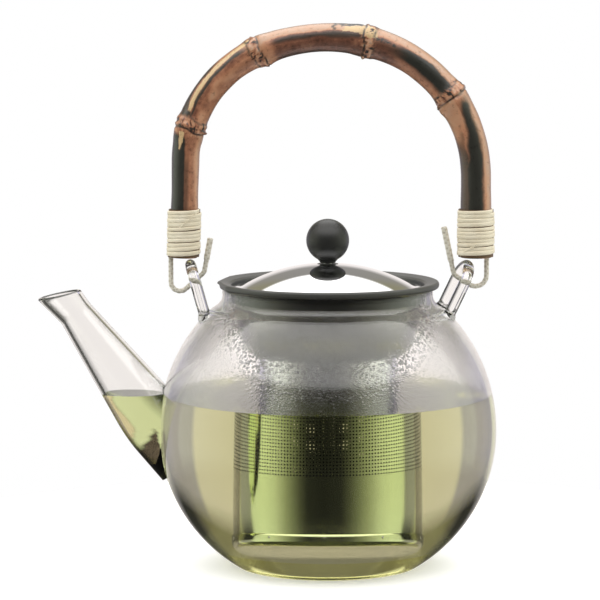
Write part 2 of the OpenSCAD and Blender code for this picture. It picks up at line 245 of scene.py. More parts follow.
def triangle_count(ob):
    return sum(len(p.vertices) - 2 for p in ob.data.polygons)

# ---------------------------------------------------------------- main sizes, mm
JUG_R, EQ_Z, LOW_B, UP_B, WALL = 67.0, 54.0, 63.9, 67.0, 2.0
NECK_R, RIM_Z, BASE_T, SH_Z = 41.7, 110.9, 2.6, 101.3
TEA_Z = 68.8

def jug_radius(z, t):
    if z < EQ_Z:
        return (JUG_R - t) * sqrt(max(0, 1 - ((EQ_Z - z) / (LOW_B - t)) ** 2))
    return (JUG_R - t) * sqrt(max(0, 1 - ((z - EQ_Z) / (UP_B - t)) ** 2))

def jug_side(t, z0, n=64, m=18):
    zs = SH_Z - 0.3 * t
    P = [np.array(p) for p in ((jug_radius(zs, t), zs), (45.4 - 0.75 * t, 103.4 - 0.8 * t), (NECK_R + 0.1 - t, 104.2 - 0.8 * t), (NECK_R - t, 108.2))]
    pts = []
    for i in range(n + 1):
        z = z0 + (zs - z0) * (1 - cos(pi * i / n)) / 2
        pts.append((jug_radius(z, t), z))
    for i in range(1, m + 1):
        u = i / m
        p = (1 - u) ** 3 * P[0] + 3 * (1 - u) ** 2 * u * P[1] + 3 * (1 - u) * u * u * P[2] + u ** 3 * P[3]
        pts.append((float(p[0]), float(p[1])))
    return pts

# ================================================================= materials
def steel(name, base, rough, rough_var, bump_s, stretch=(1, 1, 1), scale=900):
    m, nt = new_mat(name)
    v = coords(nt, stretch)
    n1 = noise(nt, v, scale, 4)
    n2 = noise(nt, coords(nt), 35, 2)
    col = mix_rgb(nt, n2, [c * 0.96 for c in base], [min(1, c * 1.04) for c in base])
    r = math_(nt, "MULTIPLY_ADD", n1, rough_var, rough - rough_var / 2)
    b = bump(nt, n1, bump_s, 0.00002)
    p = nd(nt, "ShaderNodeBsdfPrincipled", Base_Color=col, Metallic=1.0, Roughness=r, Normal=b)
    out(nt, p.outputs[0])
    return m

def plastic(name, base, rough, coat=0.0, grain=2200, grain_s=0.25):
    m, nt = new_mat(name)
    n1 = noise(nt, coords(nt), grain, 3)
    n2 = noise(nt, coords(nt), 60, 3)
    col = mix_rgb(nt, n2, [c * 0.8 for c in base], [c * 1.25 for c in base])
    r = math_(nt, "MULTIPLY_ADD", n2, 0.12, rough - 0.06)
    b = bump(nt, n1, grain_s, 0.00003)
    p = nd(nt, "ShaderNodeBsdfPrincipled", Base_Color=col, Roughness=r, Normal=b)
    p.inputs["Coat Weight"].default_value = coat
    p.inputs["Coat Roughness"].default_value = 0.12
    out(nt, p.outputs[0])
    return m

M_DOME = steel("lid_mirror_steel", (0.74, 0.74, 0.75), 0.035, 0.02, 0.02)
def sheet():
    """The infuser's polished sheet; below the waterline it carries painted light, a green tint for light that has come
    through the tea, and painted shade that darkens its grazing edges.
    """
    m, nt = new_mat("infuser_sheet_steel")
    v = coords(nt, (1, 1, 0.12))
    n1 = noise(nt, v, 1600, 4)
    n2 = noise(nt, coords(nt), 35, 2)
    tc = nt.nodes.new("ShaderNodeTexCoord")
    sep = nd(nt, "ShaderNodeSeparateXYZ", Vector=tc.outputs["Object"])
    wet = math_(nt, "LESS_THAN", sep.outputs[2], 0.0688)
    dry = mix_rgb(nt, n2, (0.70, 0.69, 0.69), (0.76, 0.75, 0.75))
    # painted light: the green tint that light picks up in the tea, laid on the sheet below the waterline
    painted_tea_light = mix_rgb(nt, n2, (0.68, 0.74, 0.50), (0.73, 0.79, 0.54))
    col = mix_rgb(nt, wet, dry, painted_tea_light)
    # painted shade: below the waterline the tube darkens towards its grazing edges
    graze = nd(nt, "ShaderNodeLayerWeight", Blend=0.5).outputs["Facing"]
    edge = ramp(nt, graze, [(0.0, 0.0), (0.595, 0.0), (0.65, 1.0), (1.0, 1.0)])
    col = mix_rgb(nt, math_(nt, "MULTIPLY", edge, wet), col, (0.27, 0.26, 0.22))
    r = math_(nt, "MULTIPLY_ADD", n1, 0.03, 0.085)
    b = bump(nt, n1, 0.03, 0.00002)
    p = nd(nt, "ShaderNodeBsdfPrincipled", Base_Color=col, Metallic=1.0, Roughness=r, Normal=b)
    out(nt, p.outputs[0])
    return m
M_SHEET = sheet()
# painted shade: dark steel for the inside of the tube and the walls of its holes, where shade falls
M_PAINTED_SHADE_INSIDE = steel("infuser_inside_painted_shade", (0.085, 0.08, 0.05), 0.3, 0.1, 0.1)
M_WIRE = steel("drawn_wire_steel", (0.62, 0.62, 0.63), 0.22, 0.1, 0.2, (0.3, 0.3, 1), 2500)
M_BLACK = plastic("black_satin_plastic", (0.054, 0.054, 0.050), 0.42)
M_KNOB = plastic("knob_black_satin", (0.024, 0.024, 0.023), 0.40, 0.0, 2600, 0.12)
M_SEAL = plastic("soft_seal_rubber", (0.03, 0.03, 0.03), 0.55)

GLASS_IOR, TEA_IOR = 1.474, 1.333

def glass_mat(name, ior, tint=(1, 1, 1), wave=0.0):
    m, nt = new_mat(name)
    n1 = noise(nt, coords(nt), 28, 2)
    col = mix_rgb(nt, n1, tint, [c * 0.985 for c in tint])
    kw = dict(Base_Color=col)
    if wave:
        kw["Normal"] = bump(nt, noise(nt, coords(nt, (1, 1, 0.5)), 60, 1), wave, 0.0004)
    p = nd(nt, "ShaderNodeBsdfPrincipled", **kw)
    p.inputs["Roughness"].default_value = 0.0
    p.inputs["IOR"].default_value = ior
    p.inputs["Transmission Weight"].default_value = 1.0
    out(nt, p.outputs[0])
    return m

M_GLASS = glass_mat("clear_glass", GLASS_IOR, (0.99, 0.995, 0.99))
M_GLASS_WET = glass_mat("glass_against_tea", GLASS_IOR / TEA_IOR, (1, 1, 1))
M_FOOT_WET = glass_mat("foot_glass_against_tea", GLASS_IOR / TEA_IOR, (0.93, 0.94, 0.48))
def spout_wet():
    """The spout's bore against the tea: greener, with painted shade at the root and painted tan light along the edge,
    where the bend's optics show them.
    """
    m, nt = new_mat("spout_glass_against_tea")
    n1 = noise(nt, coords(nt), 28, 2)
    col = mix_rgb(nt, n1, (0.74, 0.82, 0.48), (0.70, 0.78, 0.44))
    # painted light: tan along the edge of the bend
    col = mix_rgb(nt, attr(nt, "painted_tan_edge_light"), col, (0.84, 0.62, 0.40))
    # painted shade: near black at the spout's root
    col = mix_rgb(nt, attr(nt, "painted_root_shade"), col, (0.020, 0.012, 0.010))
    p = nd(nt, "ShaderNodeBsdfPrincipled", Base_Color=col)
    p.inputs["Roughness"].default_value = 0.0
    p.inputs["IOR"].default_value = GLASS_IOR / TEA_IOR
    p.inputs["Transmission Weight"].default_value = 1.0
    out(nt, p.outputs[0])
    return m
M_SPOUT_WET = spout_wet()

def steamed():
    """The jug's inside above the tea: beads of water on the glass, larger where the drops attribute is high; the beads'
    rims carry a painted dark reflection that darkens the glass and its fog.
    """
    m, nt = new_mat("glass_steamed")
    tc = coords(nt)
    big = noise(nt, tc, 55, 3)
    def beads_(scale, size):
        dist = nd(nt, "ShaderNodeTexVoronoi", {"feature": "F1"}, Vector=tc, Scale=scale, Randomness=1.0).outputs["Distance"]
        q = math_(nt, "DIVIDE", dist, size)
        cap = math_(nt, "SUBTRACT", 1.0, math_(nt, "MULTIPLY", q, q), clamp=True)
        ring = ramp(nt, math_(nt, "MULTIPLY", q, 0.5), [(0.0, 0.0), (0.30, 0.0), (0.42, 1.0), (0.50, 1.0), (0.60, 0.0), (1.0, 0.0)])
        return cap, ring
    (b1, e1), (b2, e2), (b3, e3) = beads_(760.0, 0.42), beads_(1250.0, 0.42), beads_(2300.0, 0.45)
    wet = attr(nt, "drops")
    patchy = ramp(nt, noise(nt, tc, 260, 3), [(0.0, 0.0), (0.40, 0.25), (0.60, 1.0), (1.0, 1.0)])
    w2 = math_(nt, "MULTIPLY_ADD", wet, 0.8, math_(nt, "MULTIPLY", patchy, 0.10), clamp=True)
    h = math_(nt, "MULTIPLY", math_(nt, "MULTIPLY", b1, wet), 0.00026)
    h = math_(nt, "ADD", h, math_(nt, "MULTIPLY", math_(nt, "MULTIPLY", b2, w2), 0.00010))
    h = math_(nt, "ADD", h, math_(nt, "MULTIPLY", b3, 0.000009))
    h = math_(nt, "ADD", h, math_(nt, "MULTIPLY", noise(nt, tc, 420, 4), 0.000025))
    b = bump(nt, h, 1.0, 1.0)
    r = math_(nt, "MULTIPLY_ADD", big, 0.05, 0.02)
    col = mix_rgb(nt, big, (1.0, 0.978, 0.992), (0.985, 0.962, 0.978))
    # painted reflection: the bead rims darken the glass tint and the fog, as the beads would mirror the room's dark
    # front
    dark = math_(nt, "MULTIPLY", math_(nt, "MULTIPLY", e1, wet), 0.85)
    dark = math_(nt, "ADD", dark, math_(nt, "MULTIPLY", math_(nt, "MULTIPLY", e2, w2), 0.55), clamp=True)
    g = nd(nt, "ShaderNodeBsdfPrincipled", Roughness=r, Normal=b)
    nt.links.new(mix_rgb(nt, dark, col, (0.26, 0.245, 0.24)), g.inputs["Base Color"])
    g.inputs["IOR"].default_value = GLASS_IOR
    g.inputs["Transmission Weight"].default_value = 1.0
    white = mix_rgb(nt, big, (0.98, 0.955, 0.96), (0.95, 0.925, 0.93))
    # the fog's colour takes the same painted dark reflection at the bead rims
    white = mix_rgb(nt, math_(nt, "MULTIPLY", dark, 0.7), white, (0.30, 0.29, 0.285))
    obj = nt.nodes.new("ShaderNodeTexCoord")
    zz = nd(nt, "ShaderNodeSeparateXYZ", Vector=obj.outputs["Object"]).outputs[2]
    up = ramp(nt, math_(nt, "DIVIDE", zz, 0.12), [(0.0, 0.15), (0.68, 0.15), (0.80, 0.85), (1.0, 0.85)])
    tr = nd(nt, "ShaderNodeMixShader", i0=up, i1=nd(nt, "ShaderNodeBsdfTranslucent", Color=white).outputs[0], i2=nd(nt, "ShaderNodeBsdfDiffuse", Color=white, Normal=b).outputs[0])
    graze = nd(nt, "ShaderNodeLayerWeight", Blend=0.5).outputs["Facing"]
    thick = ramp(nt, graze, [(0.0, 0.0), (0.22, 0.02), (0.45, 0.20), (0.62, 0.42), (0.80, 0.56), (1.0, 0.66)])
    spark = math_(nt, "ADD", math_(nt, "MULTIPLY", math_(nt, "MULTIPLY", b1, wet), 0.22), math_(nt, "MULTIPLY", math_(nt, "MULTIPLY", b2, w2), 0.14))
    fog = math_(nt, "ADD", math_(nt, "MULTIPLY_ADD", big, 0.04, thick), spark, clamp=True)
    mx = nd(nt, "ShaderNodeMixShader", i0=fog, i1=g.outputs[0], i2=tr.outputs[0])
    out(nt, mx.outputs[0])
    return m
M_STEAM = steamed()

def tea_mat():
    m, nt = new_mat("green_tea")
    top = attr(nt, "tea_top")
    n1 = noise(nt, coords(nt), 20, 2)
    col = mix_rgb(nt, n1, (1, 1, 1), (0.99, 0.995, 0.98))
    g = nd(nt, "ShaderNodeBsdfPrincipled", Base_Color=col)
    g.inputs["Roughness"].default_value = 0.0
    g.inputs["IOR"].default_value = TEA_IOR
    g.inputs["Transmission Weight"].default_value = 1.0
    t = nt.nodes.new("ShaderNodeBsdfTransparent")
    mx = nd(nt, "ShaderNodeMixShader", i0=top, i1=t.outputs[0], i2=g.outputs[0])
    va = nt.nodes.new("ShaderNodeVolumeAbsorption")
    va.inputs["Color"].default_value = TEA_COLOUR
    va.inputs["Density"].default_value = TEA_DENSITY
    out(nt, mx.outputs[0], va.outputs[0])
    return m
# absorption = (1 - colour) * density, per metre
TEA_DENSITY = 12.0
TEA_COLOUR = (1 - 4.6 / 12, 1 - 4.9 / 12, 1 - 9.8 / 12, 1)
M_TEA = tea_mat()

def sstep(x, a, b):
    t = np.clip((np.asarray(x, float) - a) / (b - a), 0, 1)
    return t * t * (3 - 2 * t)

# ================================================================= glass pot
KNEE = np.array([-69.5, 0, 58.5])
SP_ANG, SP_LEN, SP_TIP, SP_ROOT, SP_T, LIP_OUT = 54.3, 52.0, 6.9, 13.1, 1.6, 1.0
SP_DIR = np.array([-cos(radians(SP_ANG)), 0, sin(radians(SP_ANG))])
SP_SIDE = np.array([cos(radians(90 - SP_ANG)), 0, sin(radians(90 - SP_ANG))])   # local +X of the spout
ROOT_DIR = np.array([sin(radians(139.5)), 0, cos(radians(139.5))])

def spout_centre(s):
    """Centre line: s mm from the knee towards the mouth, negative into the jug, softened round the knee."""
    soft = 7.0
    if s > soft:
        c = KNEE + s * SP_DIR
    elif s < -soft:
        c = KNEE - s * ROOT_DIR
    else:
        u = (s + soft) / (2 * soft)
        a, b = KNEE + soft * ROOT_DIR, KNEE + soft * SP_DIR
        c = (1 - u) ** 2 * a + 2 * u * (1 - u) * KNEE + u * u * b
    if s > SP_LEN:
        c = c - SP_SIDE * LIP_OUT * (s - SP_LEN) / 15.0
    return c

def spout_radius(s, t):
    if s <= -6:
        r = SP_ROOT
    elif s < 6:
        u = (s + 6) / 12
        r = SP_ROOT - (SP_ROOT - SP_TIP) / SP_LEN * 6 * u * u
    elif s <= SP_LEN:
        r = SP_ROOT - (SP_ROOT - SP_TIP) * s / SP_LEN
    else:
        u = (s - SP_LEN) / 15.0
        r = SP_TIP + 1.4 * u
    return r - t

def spout_frame(s):
    d = spout_centre(s + 0.5) - spout_centre(s - 0.5)
    d = d / np.linalg.norm(d)
    e1 = np.array([d[2], 0, -d[0]])
    return d, e1, np.array([0, 1.0, 0])

MOUTH_P = np.array([-114.2, 0, 106.6])
MOUTH_N = np.array([-sin(radians(11.9)), 0, cos(radians(11.9))])

def spout_point(s, th, t):
    d, e1, e2 = spout_frame(s)
    return spout_centre(s) + spout_radius(s, t) * (cos(th) * e1 + sin(th) * e2)

def spout_end(th, t, below=0.0):
    lo, hi = 30.0, 75.0
    for _ in range(40):
        mid = (lo + hi) / 2
        if (spout_point(mid, th, t) - MOUTH_P) @ MOUTH_N < -below:
            lo = mid
        else:
            hi = mid
    return lo

def spout_solid(name, s0, t_out, t_in=None, seg=96, rows=64, top_extra=0.0):
    """With t_in, the glass wall of the spout with a fire-polished rim. Without, the solid inside radius r - t_out."""
    rings = []
    th = [2 * pi * j / seg for j in range(seg)]
    if t_in is None:
        for i in range(rows + 1):
            s = s0 + (66 - s0 + top_extra) * i / rows
            rings.append([spout_point(s, a, t_out) for a in th])
        verts = [p for r in rings for p in r]
        n = len(rings)
        faces = [[i * seg + j, i * seg + (j + 1) % seg, (i + 1) * seg + (j + 1) % seg, (i + 1) * seg + j] for i in range(n - 1) for j in range(seg)]
        faces.append([j for j in range(seg)][::-1])
        faces.append([(n - 1) * seg + j for j in range(seg)])
        ob = make_obj(name, verts, faces)
        fix_normals(ob)
        return ob
    half = (t_in - t_out) / 2
    eo = [spout_end(a, t_out, half * 0.9) for a in th]
    ei = [spout_end(a, t_in, half * 0.9) for a in th]
    for i in range(rows + 1):
        u = i / rows
        rings.append([spout_point(s0 + (eo[j] - s0) * u, th[j], t_out) for j in range(seg)])
    top_o = rings[-1]
    top_i = [spout_point(ei[j], th[j], t_in) for j in range(seg)]
    k = 8
    for i in range(1, k):
        a = pi * i / k
        ring = []
        for j in range(seg):
            mid = (top_o[j] + top_i[j]) / 2
            rad = (top_o[j] - top_i[j]) / 2
            ring.append(mid + rad * cos(a) * 1.0 + MOUTH_N * half * sin(a) * 1.0)
        rings.append(ring)
    for i in range(rows + 1):
        u = 1 - i / rows
        rings.append([spout_point(s0 + (ei[j] - s0) * u, th[j], t_in) for j in range(seg)])
    verts = [p for r in rings for p in r]
    n = len(rings)
    faces = [[i * seg + j, i * seg + (j + 1) % seg, ((i + 1) % n) * seg + (j + 1) % seg, ((i + 1) % n) * seg + j] for i in range(n) for j in range(seg)]
    ob = make_obj(name, verts, faces)
    fix_normals(ob)
    return ob

def jug_wall(seg=208):
    outer = [(0, 0)] + [(r, 0) for r in (12, 24, 32)] + jug_side(0, 0)
    # the flat foot's edge is a small radius, and the base is slightly hollow
    prof = [(0, 0.5), (14, 0.45), (26, 0.3), (31.5, 0.12), (33.2, 0.02)]
    side = jug_side(0, 0)
    prof += [(side[0][0] - 1.2, 0.0), (side[0][0] - 0.5, 0.08)]
    prof += [p for p in side[1:] if p[1] > 0.35]
    rim = [(NECK_R, RIM_Z - 1.0), (NECK_R - 0.06, RIM_Z - 0.62), (NECK_R - 0.3, RIM_Z - 0.24), (NECK_R - 0.68, RIM_Z - 0.05), (NECK_R - 1.0, RIM_Z)]
    rim_in = [(NECK_R - 1.32, RIM_Z - 0.05), (NECK_R - 1.7, RIM_Z - 0.24), (NECK_R - 1.94, RIM_Z - 0.62), (NECK_R - 2.0, RIM_Z - 1.0)]
    inner = jug_side(WALL, BASE_T)[::-1]
    low = [p for p in inner if p[1] > BASE_T + 0.3]
    r_in = jug_radius(BASE_T, WALL)
    prof += rim + rim_in + low + [(r_in - 0.6, BASE_T + 0.06), (r_in - 1.6, BASE_T), (24, BASE_T + 0.1), (12, BASE_T + 0.25), (0, BASE_T + 0.3)]
    return lathe("jug_wall", prof, seg, closed=False)

def jug_cavity(seg=208, grow=0.0, top=True):
    t = WALL - grow
    inner = jug_side(t, BASE_T - grow)
    prof = [(0, BASE_T + 0.3 - grow), (12, BASE_T + 0.25 - grow), (24, BASE_T + 0.1 - grow)]
    r_in = inner[0][0]
    prof += [(r_in - 1.6, BASE_T - grow), (r_in - 0.6, BASE_T + 0.06 - grow)]
    prof += [p for p in inner if p[1] > BASE_T - grow + 0.3]
    prof += [(NECK_R - t, RIM_Z - 1), (NECK_R - t, RIM_Z + 2), (0, RIM_Z + 2)]
    return lathe("jug_cavity", prof, seg, closed=False)

def rod_sweep(name, path, radii, seg=28, cap=True):
    """A round rod along a path of points in mm."""
    P = np.array(path, float)
    n = len(P)
    T = np.gradient(P, axis=0)
    T /= np.linalg.norm(T, axis=1)[:, None]
    ref = np.array([1.0, 0, 0]) if abs(T[0][0]) < 0.8 else np.array([0, 1.0, 0])
    N = ref - (ref @ T[0]) * T[0]
    N /= np.linalg.norm(N)
    rings = []
    for i in range(n):
        N = N - (N @ T[i]) * T[i]
        N /= np.linalg.norm(N)
        B = np.cross(T[i], N)
        rings += [P[i] + radii[i] * (cos(2 * pi * j / seg) * N + sin(2 * pi * j / seg) * B) for j in range(seg)]
    faces = [[i * seg + j, i * seg + (j + 1) % seg, (i + 1) * seg + (j + 1) % seg, (i + 1) * seg + j] for i in range(n - 1) for j in range(seg)]
    if cap:
        faces += [[j for j in range(seg)][::-1], [(n - 1) * seg + j for j in range(seg)]]
    ob = make_obj(name, rings, faces)
    fix_normals(ob)
    return ob

EAR_X, EAR_Z, EAR_R, EAR_B = 52.6, 114.0, 2.2, 6.2
EARS = {-1: (15.5, 3.0), 1: (25.5, 14.0)}

def ear_rod(side):
    lean, twist = EARS[side]
    pts = []
    for z in np.linspace(-19.5, 0, 26):
        pts.append((0, -EAR_B, z))
    for i in range(1, 40):
        a = pi * i / 40
        pts.append((0, -EAR_B * cos(a), EAR_B * sin(a)))
    for z in np.linspace(0, -19.5, 26):
        pts.append((0, EAR_B, z))
    P = np.array(pts)
    tw, ln = radians(twist), radians(side * lean)
    Rz = np.array([[cos(tw), -sin(tw), 0], [sin(tw), cos(tw), 0], [0, 0, 1]])
    Ry = np.array([[cos(ln), 0, sin(ln)], [0, 1, 0], [-sin(ln), 0, cos(ln)]])
    P = P @ Rz.T @ Ry.T + np.array([side * EAR_X, 0, EAR_Z])
    # the foot flares where the hot rod was pressed onto the shoulder
    rad = []
    for p in P:
        r = sqrt(p[0] ** 2 + p[1] ** 2)
        zz = min(max(p[2], 0), SH_Z)
        gap = sqrt(r * r + (p[2] - EQ_Z) ** 2) - JUG_R
        rad.append(EAR_R + 0.75 * max(0.0, 1 - max(gap, 0) / 1.6) ** 2)
    return rod_sweep("ear", P, rad)

wall = jug_wall()
bore = spout_solid("bore", -24, SP_T, None, top_extra=12)
wall = boolean(wall, bore, "DIFFERENCE")
spout = spout_solid("spout", -21, 0.0, SP_T)
spout = boolean(spout, jug_cavity(), "DIFFERENCE")
glass = boolean(wall, spout, "UNION")
for sd in (-1, 1):
    ear = ear_rod(sd)
    ear = boolean(ear, jug_cavity(), "DIFFERENCE")
    glass = boolean(glass, ear, "UNION")
glass.name = "glass_pot"

def spout_axis_distance(co):
    """Distance of points from the spout's centre line and the wall's outer radius there."""
    ss = np.linspace(-24, 66, 181)
    C = np.array([spout_centre(s) for s in ss])
    R = np.array([spout_radius(s, 0) for s in ss])
    d = np.linalg.norm(co[:, None, :] - C[None], axis=2)
    k = d.argmin(1)
    return d[np.arange(len(co)), k], R[k], ss[k]

def finish_glass(ob):
    bm = bmesh.new()
    bm.from_mesh(ob.data)
    bmesh.ops.remove_doubles(bm, verts=bm.verts, dist=2e-6)
    geom = list(bm.verts) + list(bm.edges) + list(bm.faces)
    bmesh.ops.bisect_plane(bm, geom=geom, dist=1e-7, plane_co=(0, 0, TEA_Z * MM), plane_no=(0, 0, 1))
    bm.to_mesh(ob.data)
    bm.free()
    me = ob.data
    me.materials.clear()
    for m in (M_GLASS, M_STEAM, M_GLASS_WET, M_SPOUT_WET, M_FOOT_WET):
        me.materials.append(m)
    cen = np.array([p.center for p in me.polygons]) / MM
    rr = np.hypot(cen[:, 0], cen[:, 1])
    mid = np.array([jug_radius(min(z, 101), 1.0) if z < 101.5 else NECK_R - 1.0 for z in cen[:, 2]])
    # the shoulder between the ball and the neck
    side_mid = jug_side(1.0, 1.0)
    zs = np.array([p[1] for p in side_mid]); rs = np.array([p[0] for p in side_mid])
    high = cen[:, 2] > 100
    mid[high] = np.interp(cen[high, 2], zs, rs)
    in_jug = (rr < mid) & (cen[:, 2] > 1.4)
    d, R, s = spout_axis_distance(cen)
    in_spout = (d < R - 0.8) & (rr > mid - 1.2) & (cen[:, 0] < -55) & (s < 70)
    below = cen[:, 2] < TEA_Z
    idx = np.zeros(len(cen), np.int32)
    idx[in_jug & ~below] = 1
    idx[(in_jug | in_spout) & below] = 2
    idx[in_spout & ~in_jug & below] = 3
    idx[in_jug & (cen[:, 2] < 9.5)] = 4
    me.polygons.foreach_set("material_index", idx)
    co = np.array([v.co for v in me.vertices]) / MM
    # painted shade at the spout's root and painted tan light along its rim line, on the near side of the bore, placed
    # by where they show from the front
    X, Z, near = co[:, 0], co[:, 2], sstep(-co[:, 1], 0.0, 1.5)
    apex = np.interp(X, [-77, -73.5, -70.5, -68.2, -66.8, -65.6, -65.0], [46.0, 49.0, 52.5, 56.5, 55.5, 48.5, 36.0])
    # painted shade: the root darkens, with a dark streak along the rim line
    root = near * sstep(apex - Z, -0.4, 1.2)
    rim_line = np.interp(Z, [49.5, 52, 56, 60, 64, 67], [-77.5, -76.4, -75.8, -78.8, -82.6, -84.6])
    tan_light_mask = near * sstep(rim_line - X, -0.4, 0.4) * (1 - root)
    shade_streak = near * np.exp(-((X - rim_line) / 0.6) ** 2) * sstep(Z, 49, 52) * 0.35
    for nm, val in (("painted_root_shade", np.clip(root + shade_streak, 0, 1)), ("painted_tan_edge_light", np.clip(tan_light_mask, 0, 1))):
        at = me.attributes.new(nm, "FLOAT", "POINT")
        at.data.foreach_set("value", val.astype(np.float32))
    # where the beads of water are larger: on the shoulder, left and right of the middle
    drops = np.zeros(len(co))
    for cx, cz, sx, sz, amp in ((-34, 98, 7, 8, 1.0), (34, 98, 7, 8, 1.0), (-26, 87, 7, 6, 1.0), (27, 88, 7, 6, 1.0), (0, 86, 24, 4, 0.8), (0, 95, 30, 7, 0.45), (-12, 79, 14, 7, 0.5), (14, 80, 12, 7, 0.45)):
        drops = np.maximum(drops, amp * np.exp(-((co[:, 0] - cx) / sx) ** 2 - ((co[:, 2] - cz) / sz) ** 2))
    a = me.attributes.new("drops", "FLOAT", "POINT")
    a.data.foreach_set("value", (0.05 + 0.95 * drops).astype(np.float32))
    me.update()
    smooth_by_angle(ob, 42)
finish_glass(glass)
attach(glass, "pot")
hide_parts("glass_jug", "glass_spout", "glass_ear_left", "glass_ear_right")

# ================================================================= tea
def tea_body():
    G = 0.12
    body = jug_cavity(grow=G)
    b2 = spout_solid("tea_spout", -24, SP_T - G, None)
    body = boolean(body, b2, "UNION")
    box = make_obj("cut", [(-200, -200, -50), (200, -200, -50), (200, 200, -50), (-200, 200, -50), (-200, -200, TEA_Z), (200, -200, TEA_Z), (200, 200, TEA_Z), (-200, 200, TEA_Z)],
                   [(0, 3, 2, 1), (4, 5, 6, 7), (0, 1, 5, 4), (1, 2, 6, 5), (2, 3, 7, 6), (3, 0, 4, 7)])
    body = boolean(body, box, "INTERSECT")
    body.name = "tea_liquid"
    me = body.data
    me.materials.clear()
    me.materials.append(M_TEA)
    nz = np.array([p.normal.z for p in me.polygons])
    cz = np.array([p.center.z for p in me.polygons]) / MM
    top = ((nz > 0.99) & (cz > TEA_Z - 0.01)).astype(np.float32)
    a = me.attributes.new("tea_top", "FLOAT", "FACE")
    a.data.foreach_set("value", top)
    smooth_by_angle(body, 30)
    return body
tea = tea_body()
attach(tea, "pot")

# ================================================================= infuser
INF_R, INF_T, INF_Z, FUN_Z = 27.9, 0.5, 19.0, 84.0
HOLE_Z0, ROWS, COLS, HOLE_R = 41.6, 36, 157, 0.29

def perforated_wall():
    """The infuser's tube: solid below, then rows of small punched holes, then plain up to the funnel."""
    ro, ri = INF_R, INF_R - INF_T
    pitch = 2 * pi * INF_R / COLS
    z_lo, z_hi = INF_Z + 2.1, FUN_Z
    verts, faces = [], []
    index = {}
    def V(a, z, layer):
        key = (round(a, 6), round(z, 5), layer)
        if zc0 - 1e-6 <= z <= top + 1e-6:
            z = z + pitch * (a / (2 * pi) - 0.5)
        if key not in index:
            r = (ro, ri)[layer]
            index[key] = len(verts)
            verts.append((r * cos(a), r * sin(a), z))
        return index[key]
    da = 2 * pi / COLS
    K = 8
    def ang(i):
        return (i % COLS) * da
    zc0 = HOLE_Z0 + 0.5 * pitch
    top = zc0 + ROWS * pitch
    for c in range(COLS):
        a0, a1, am = ang(c), ang(c + 1), ang(c) + da / 2
        a1v = a1 if c + 1 < COLS else 0.0
        # plain bands above and below
        for z0, z1 in ((z_lo, zc0), (top, z_hi)):
            for lay, flip in ((0, 0), (1, 1)):
                q = [V(a0, z0, lay), V(a1v, z0, lay), V(a1v, z1, lay), V(a0, z1, lay)]
                faces.append(q[::-1] if flip else q)
        for z, up in ((z_lo, 0), (z_hi, 1)):
            q = [V(a0, z, 0), V(a0, z, 1), V(a1v, z, 1), V(a1v, z, 0)]
            faces.append(q if not up else q[::-1])
        for rrow in range(ROWS):
            z0 = zc0 + rrow * pitch
            z1 = z0 + pitch
            zm = (z0 + z1) / 2
            if c == COLS - 1:
                faces.append([V(a0, z0, 0), V(a1v, z0, 0), V(a1v, z1, 0), V(a0, z1, 0)])
                faces.append([V(a0, z1, 1), V(a1v, z1, 1), V(a1v, z0, 1), V(a0, z0, 1)])
                continue
            rings = []
            for lay in (0, 1):
                ring = []
                for k in range(K):
                    t = pi / 4 + 2 * pi * k / K
                    ring.append(V(am + HOLE_R * cos(t) / INF_R, zm + HOLE_R * sin(t), lay))
                rings.append(ring)
                cor = [V(a1v, z1, lay), V(a0, z1, lay), V(a0, z0, lay), V(a1v, z0, lay)]
                for k in range(4):
                    c0, c1 = cor[k], cor[(k + 1) % 4]
                    h0, hm, h1 = ring[(2 * k) % K], ring[(2 * k + 1) % K], ring[(2 * k + 2) % K]
                    for f in ([c0, c1, hm], [c0, hm, h0], [c1, h1, hm]):
                        faces.append(f[::-1] if lay else f)
            for k in range(K):
                faces.append([rings[0][k], rings[0][(k + 1) % K], rings[1][(k + 1) % K], rings[1][k]])
    return verts, faces

def split_wall():
    verts, faces = perforated_wall()
    V = np.array(verts)
    names = ("infuser_tube_front", "infuser_tube_back")
    obs = []
    cy = np.array([V[list(f)][:, 1].mean() for f in faces])
    for nm, keep in zip(names, (cy < 0, cy >= 0)):
        fs = [f for f, k in zip(faces, keep) if k]
        used = sorted({i for f in fs for i in f})
        mp = {u: i for i, u in enumerate(used)}
        ob = make_obj(nm, V[used], [[mp[i] for i in f] for f in fs], (M_SHEET, M_PAINTED_SHADE_INSIDE))
        # the inner layer and the hole walls take the painted shade
        inner = [int(np.hypot(V[list(f)][:, 0], V[list(f)][:, 1]).mean() < INF_R - 0.25 * INF_T) for f in fs]
        ob.data.polygons.foreach_set("material_index", np.array(inner, np.int32))
        smooth_by_angle(ob, 30)
        obs.append(ob)
    return obs
tubes = split_wall()
for t in tubes:
    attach(t, "infuser")
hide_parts("infuser_wall")

def use(node, material, angle=30):
    ob = frame["nodes"][node]
    ob.data.materials.clear()
    ob.data.materials.append(material)
    smooth_by_angle(ob, angle)

# pressed base cap with a rolled corner, and the spun funnel
b_r = INF_R + 0.5
cap_prof = [(0, INF_Z + 0.35), (8, INF_Z + 0.3), (16, INF_Z + 0.12), (21, INF_Z)] + arc_pts(b_r - 2, INF_Z + 2, 2, -90, 0, 10)[1:] + \
    [(b_r, INF_Z + 3.9), (b_r - 0.12, INF_Z + 4.15), (b_r - 0.4, INF_Z + 4.2)] + arc_pts(b_r - 2, INF_Z + 2, 1.52, 0, -90, 8) + [(16, INF_Z + 0.6), (8, INF_Z + 0.8), (0, INF_Z + 0.85)]
cap = lathe("infuser_cap", cap_prof, 160, (M_SHEET,), closed=False)
smooth_by_angle(cap, 35)
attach(cap, "infuser"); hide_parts("infuser_base")

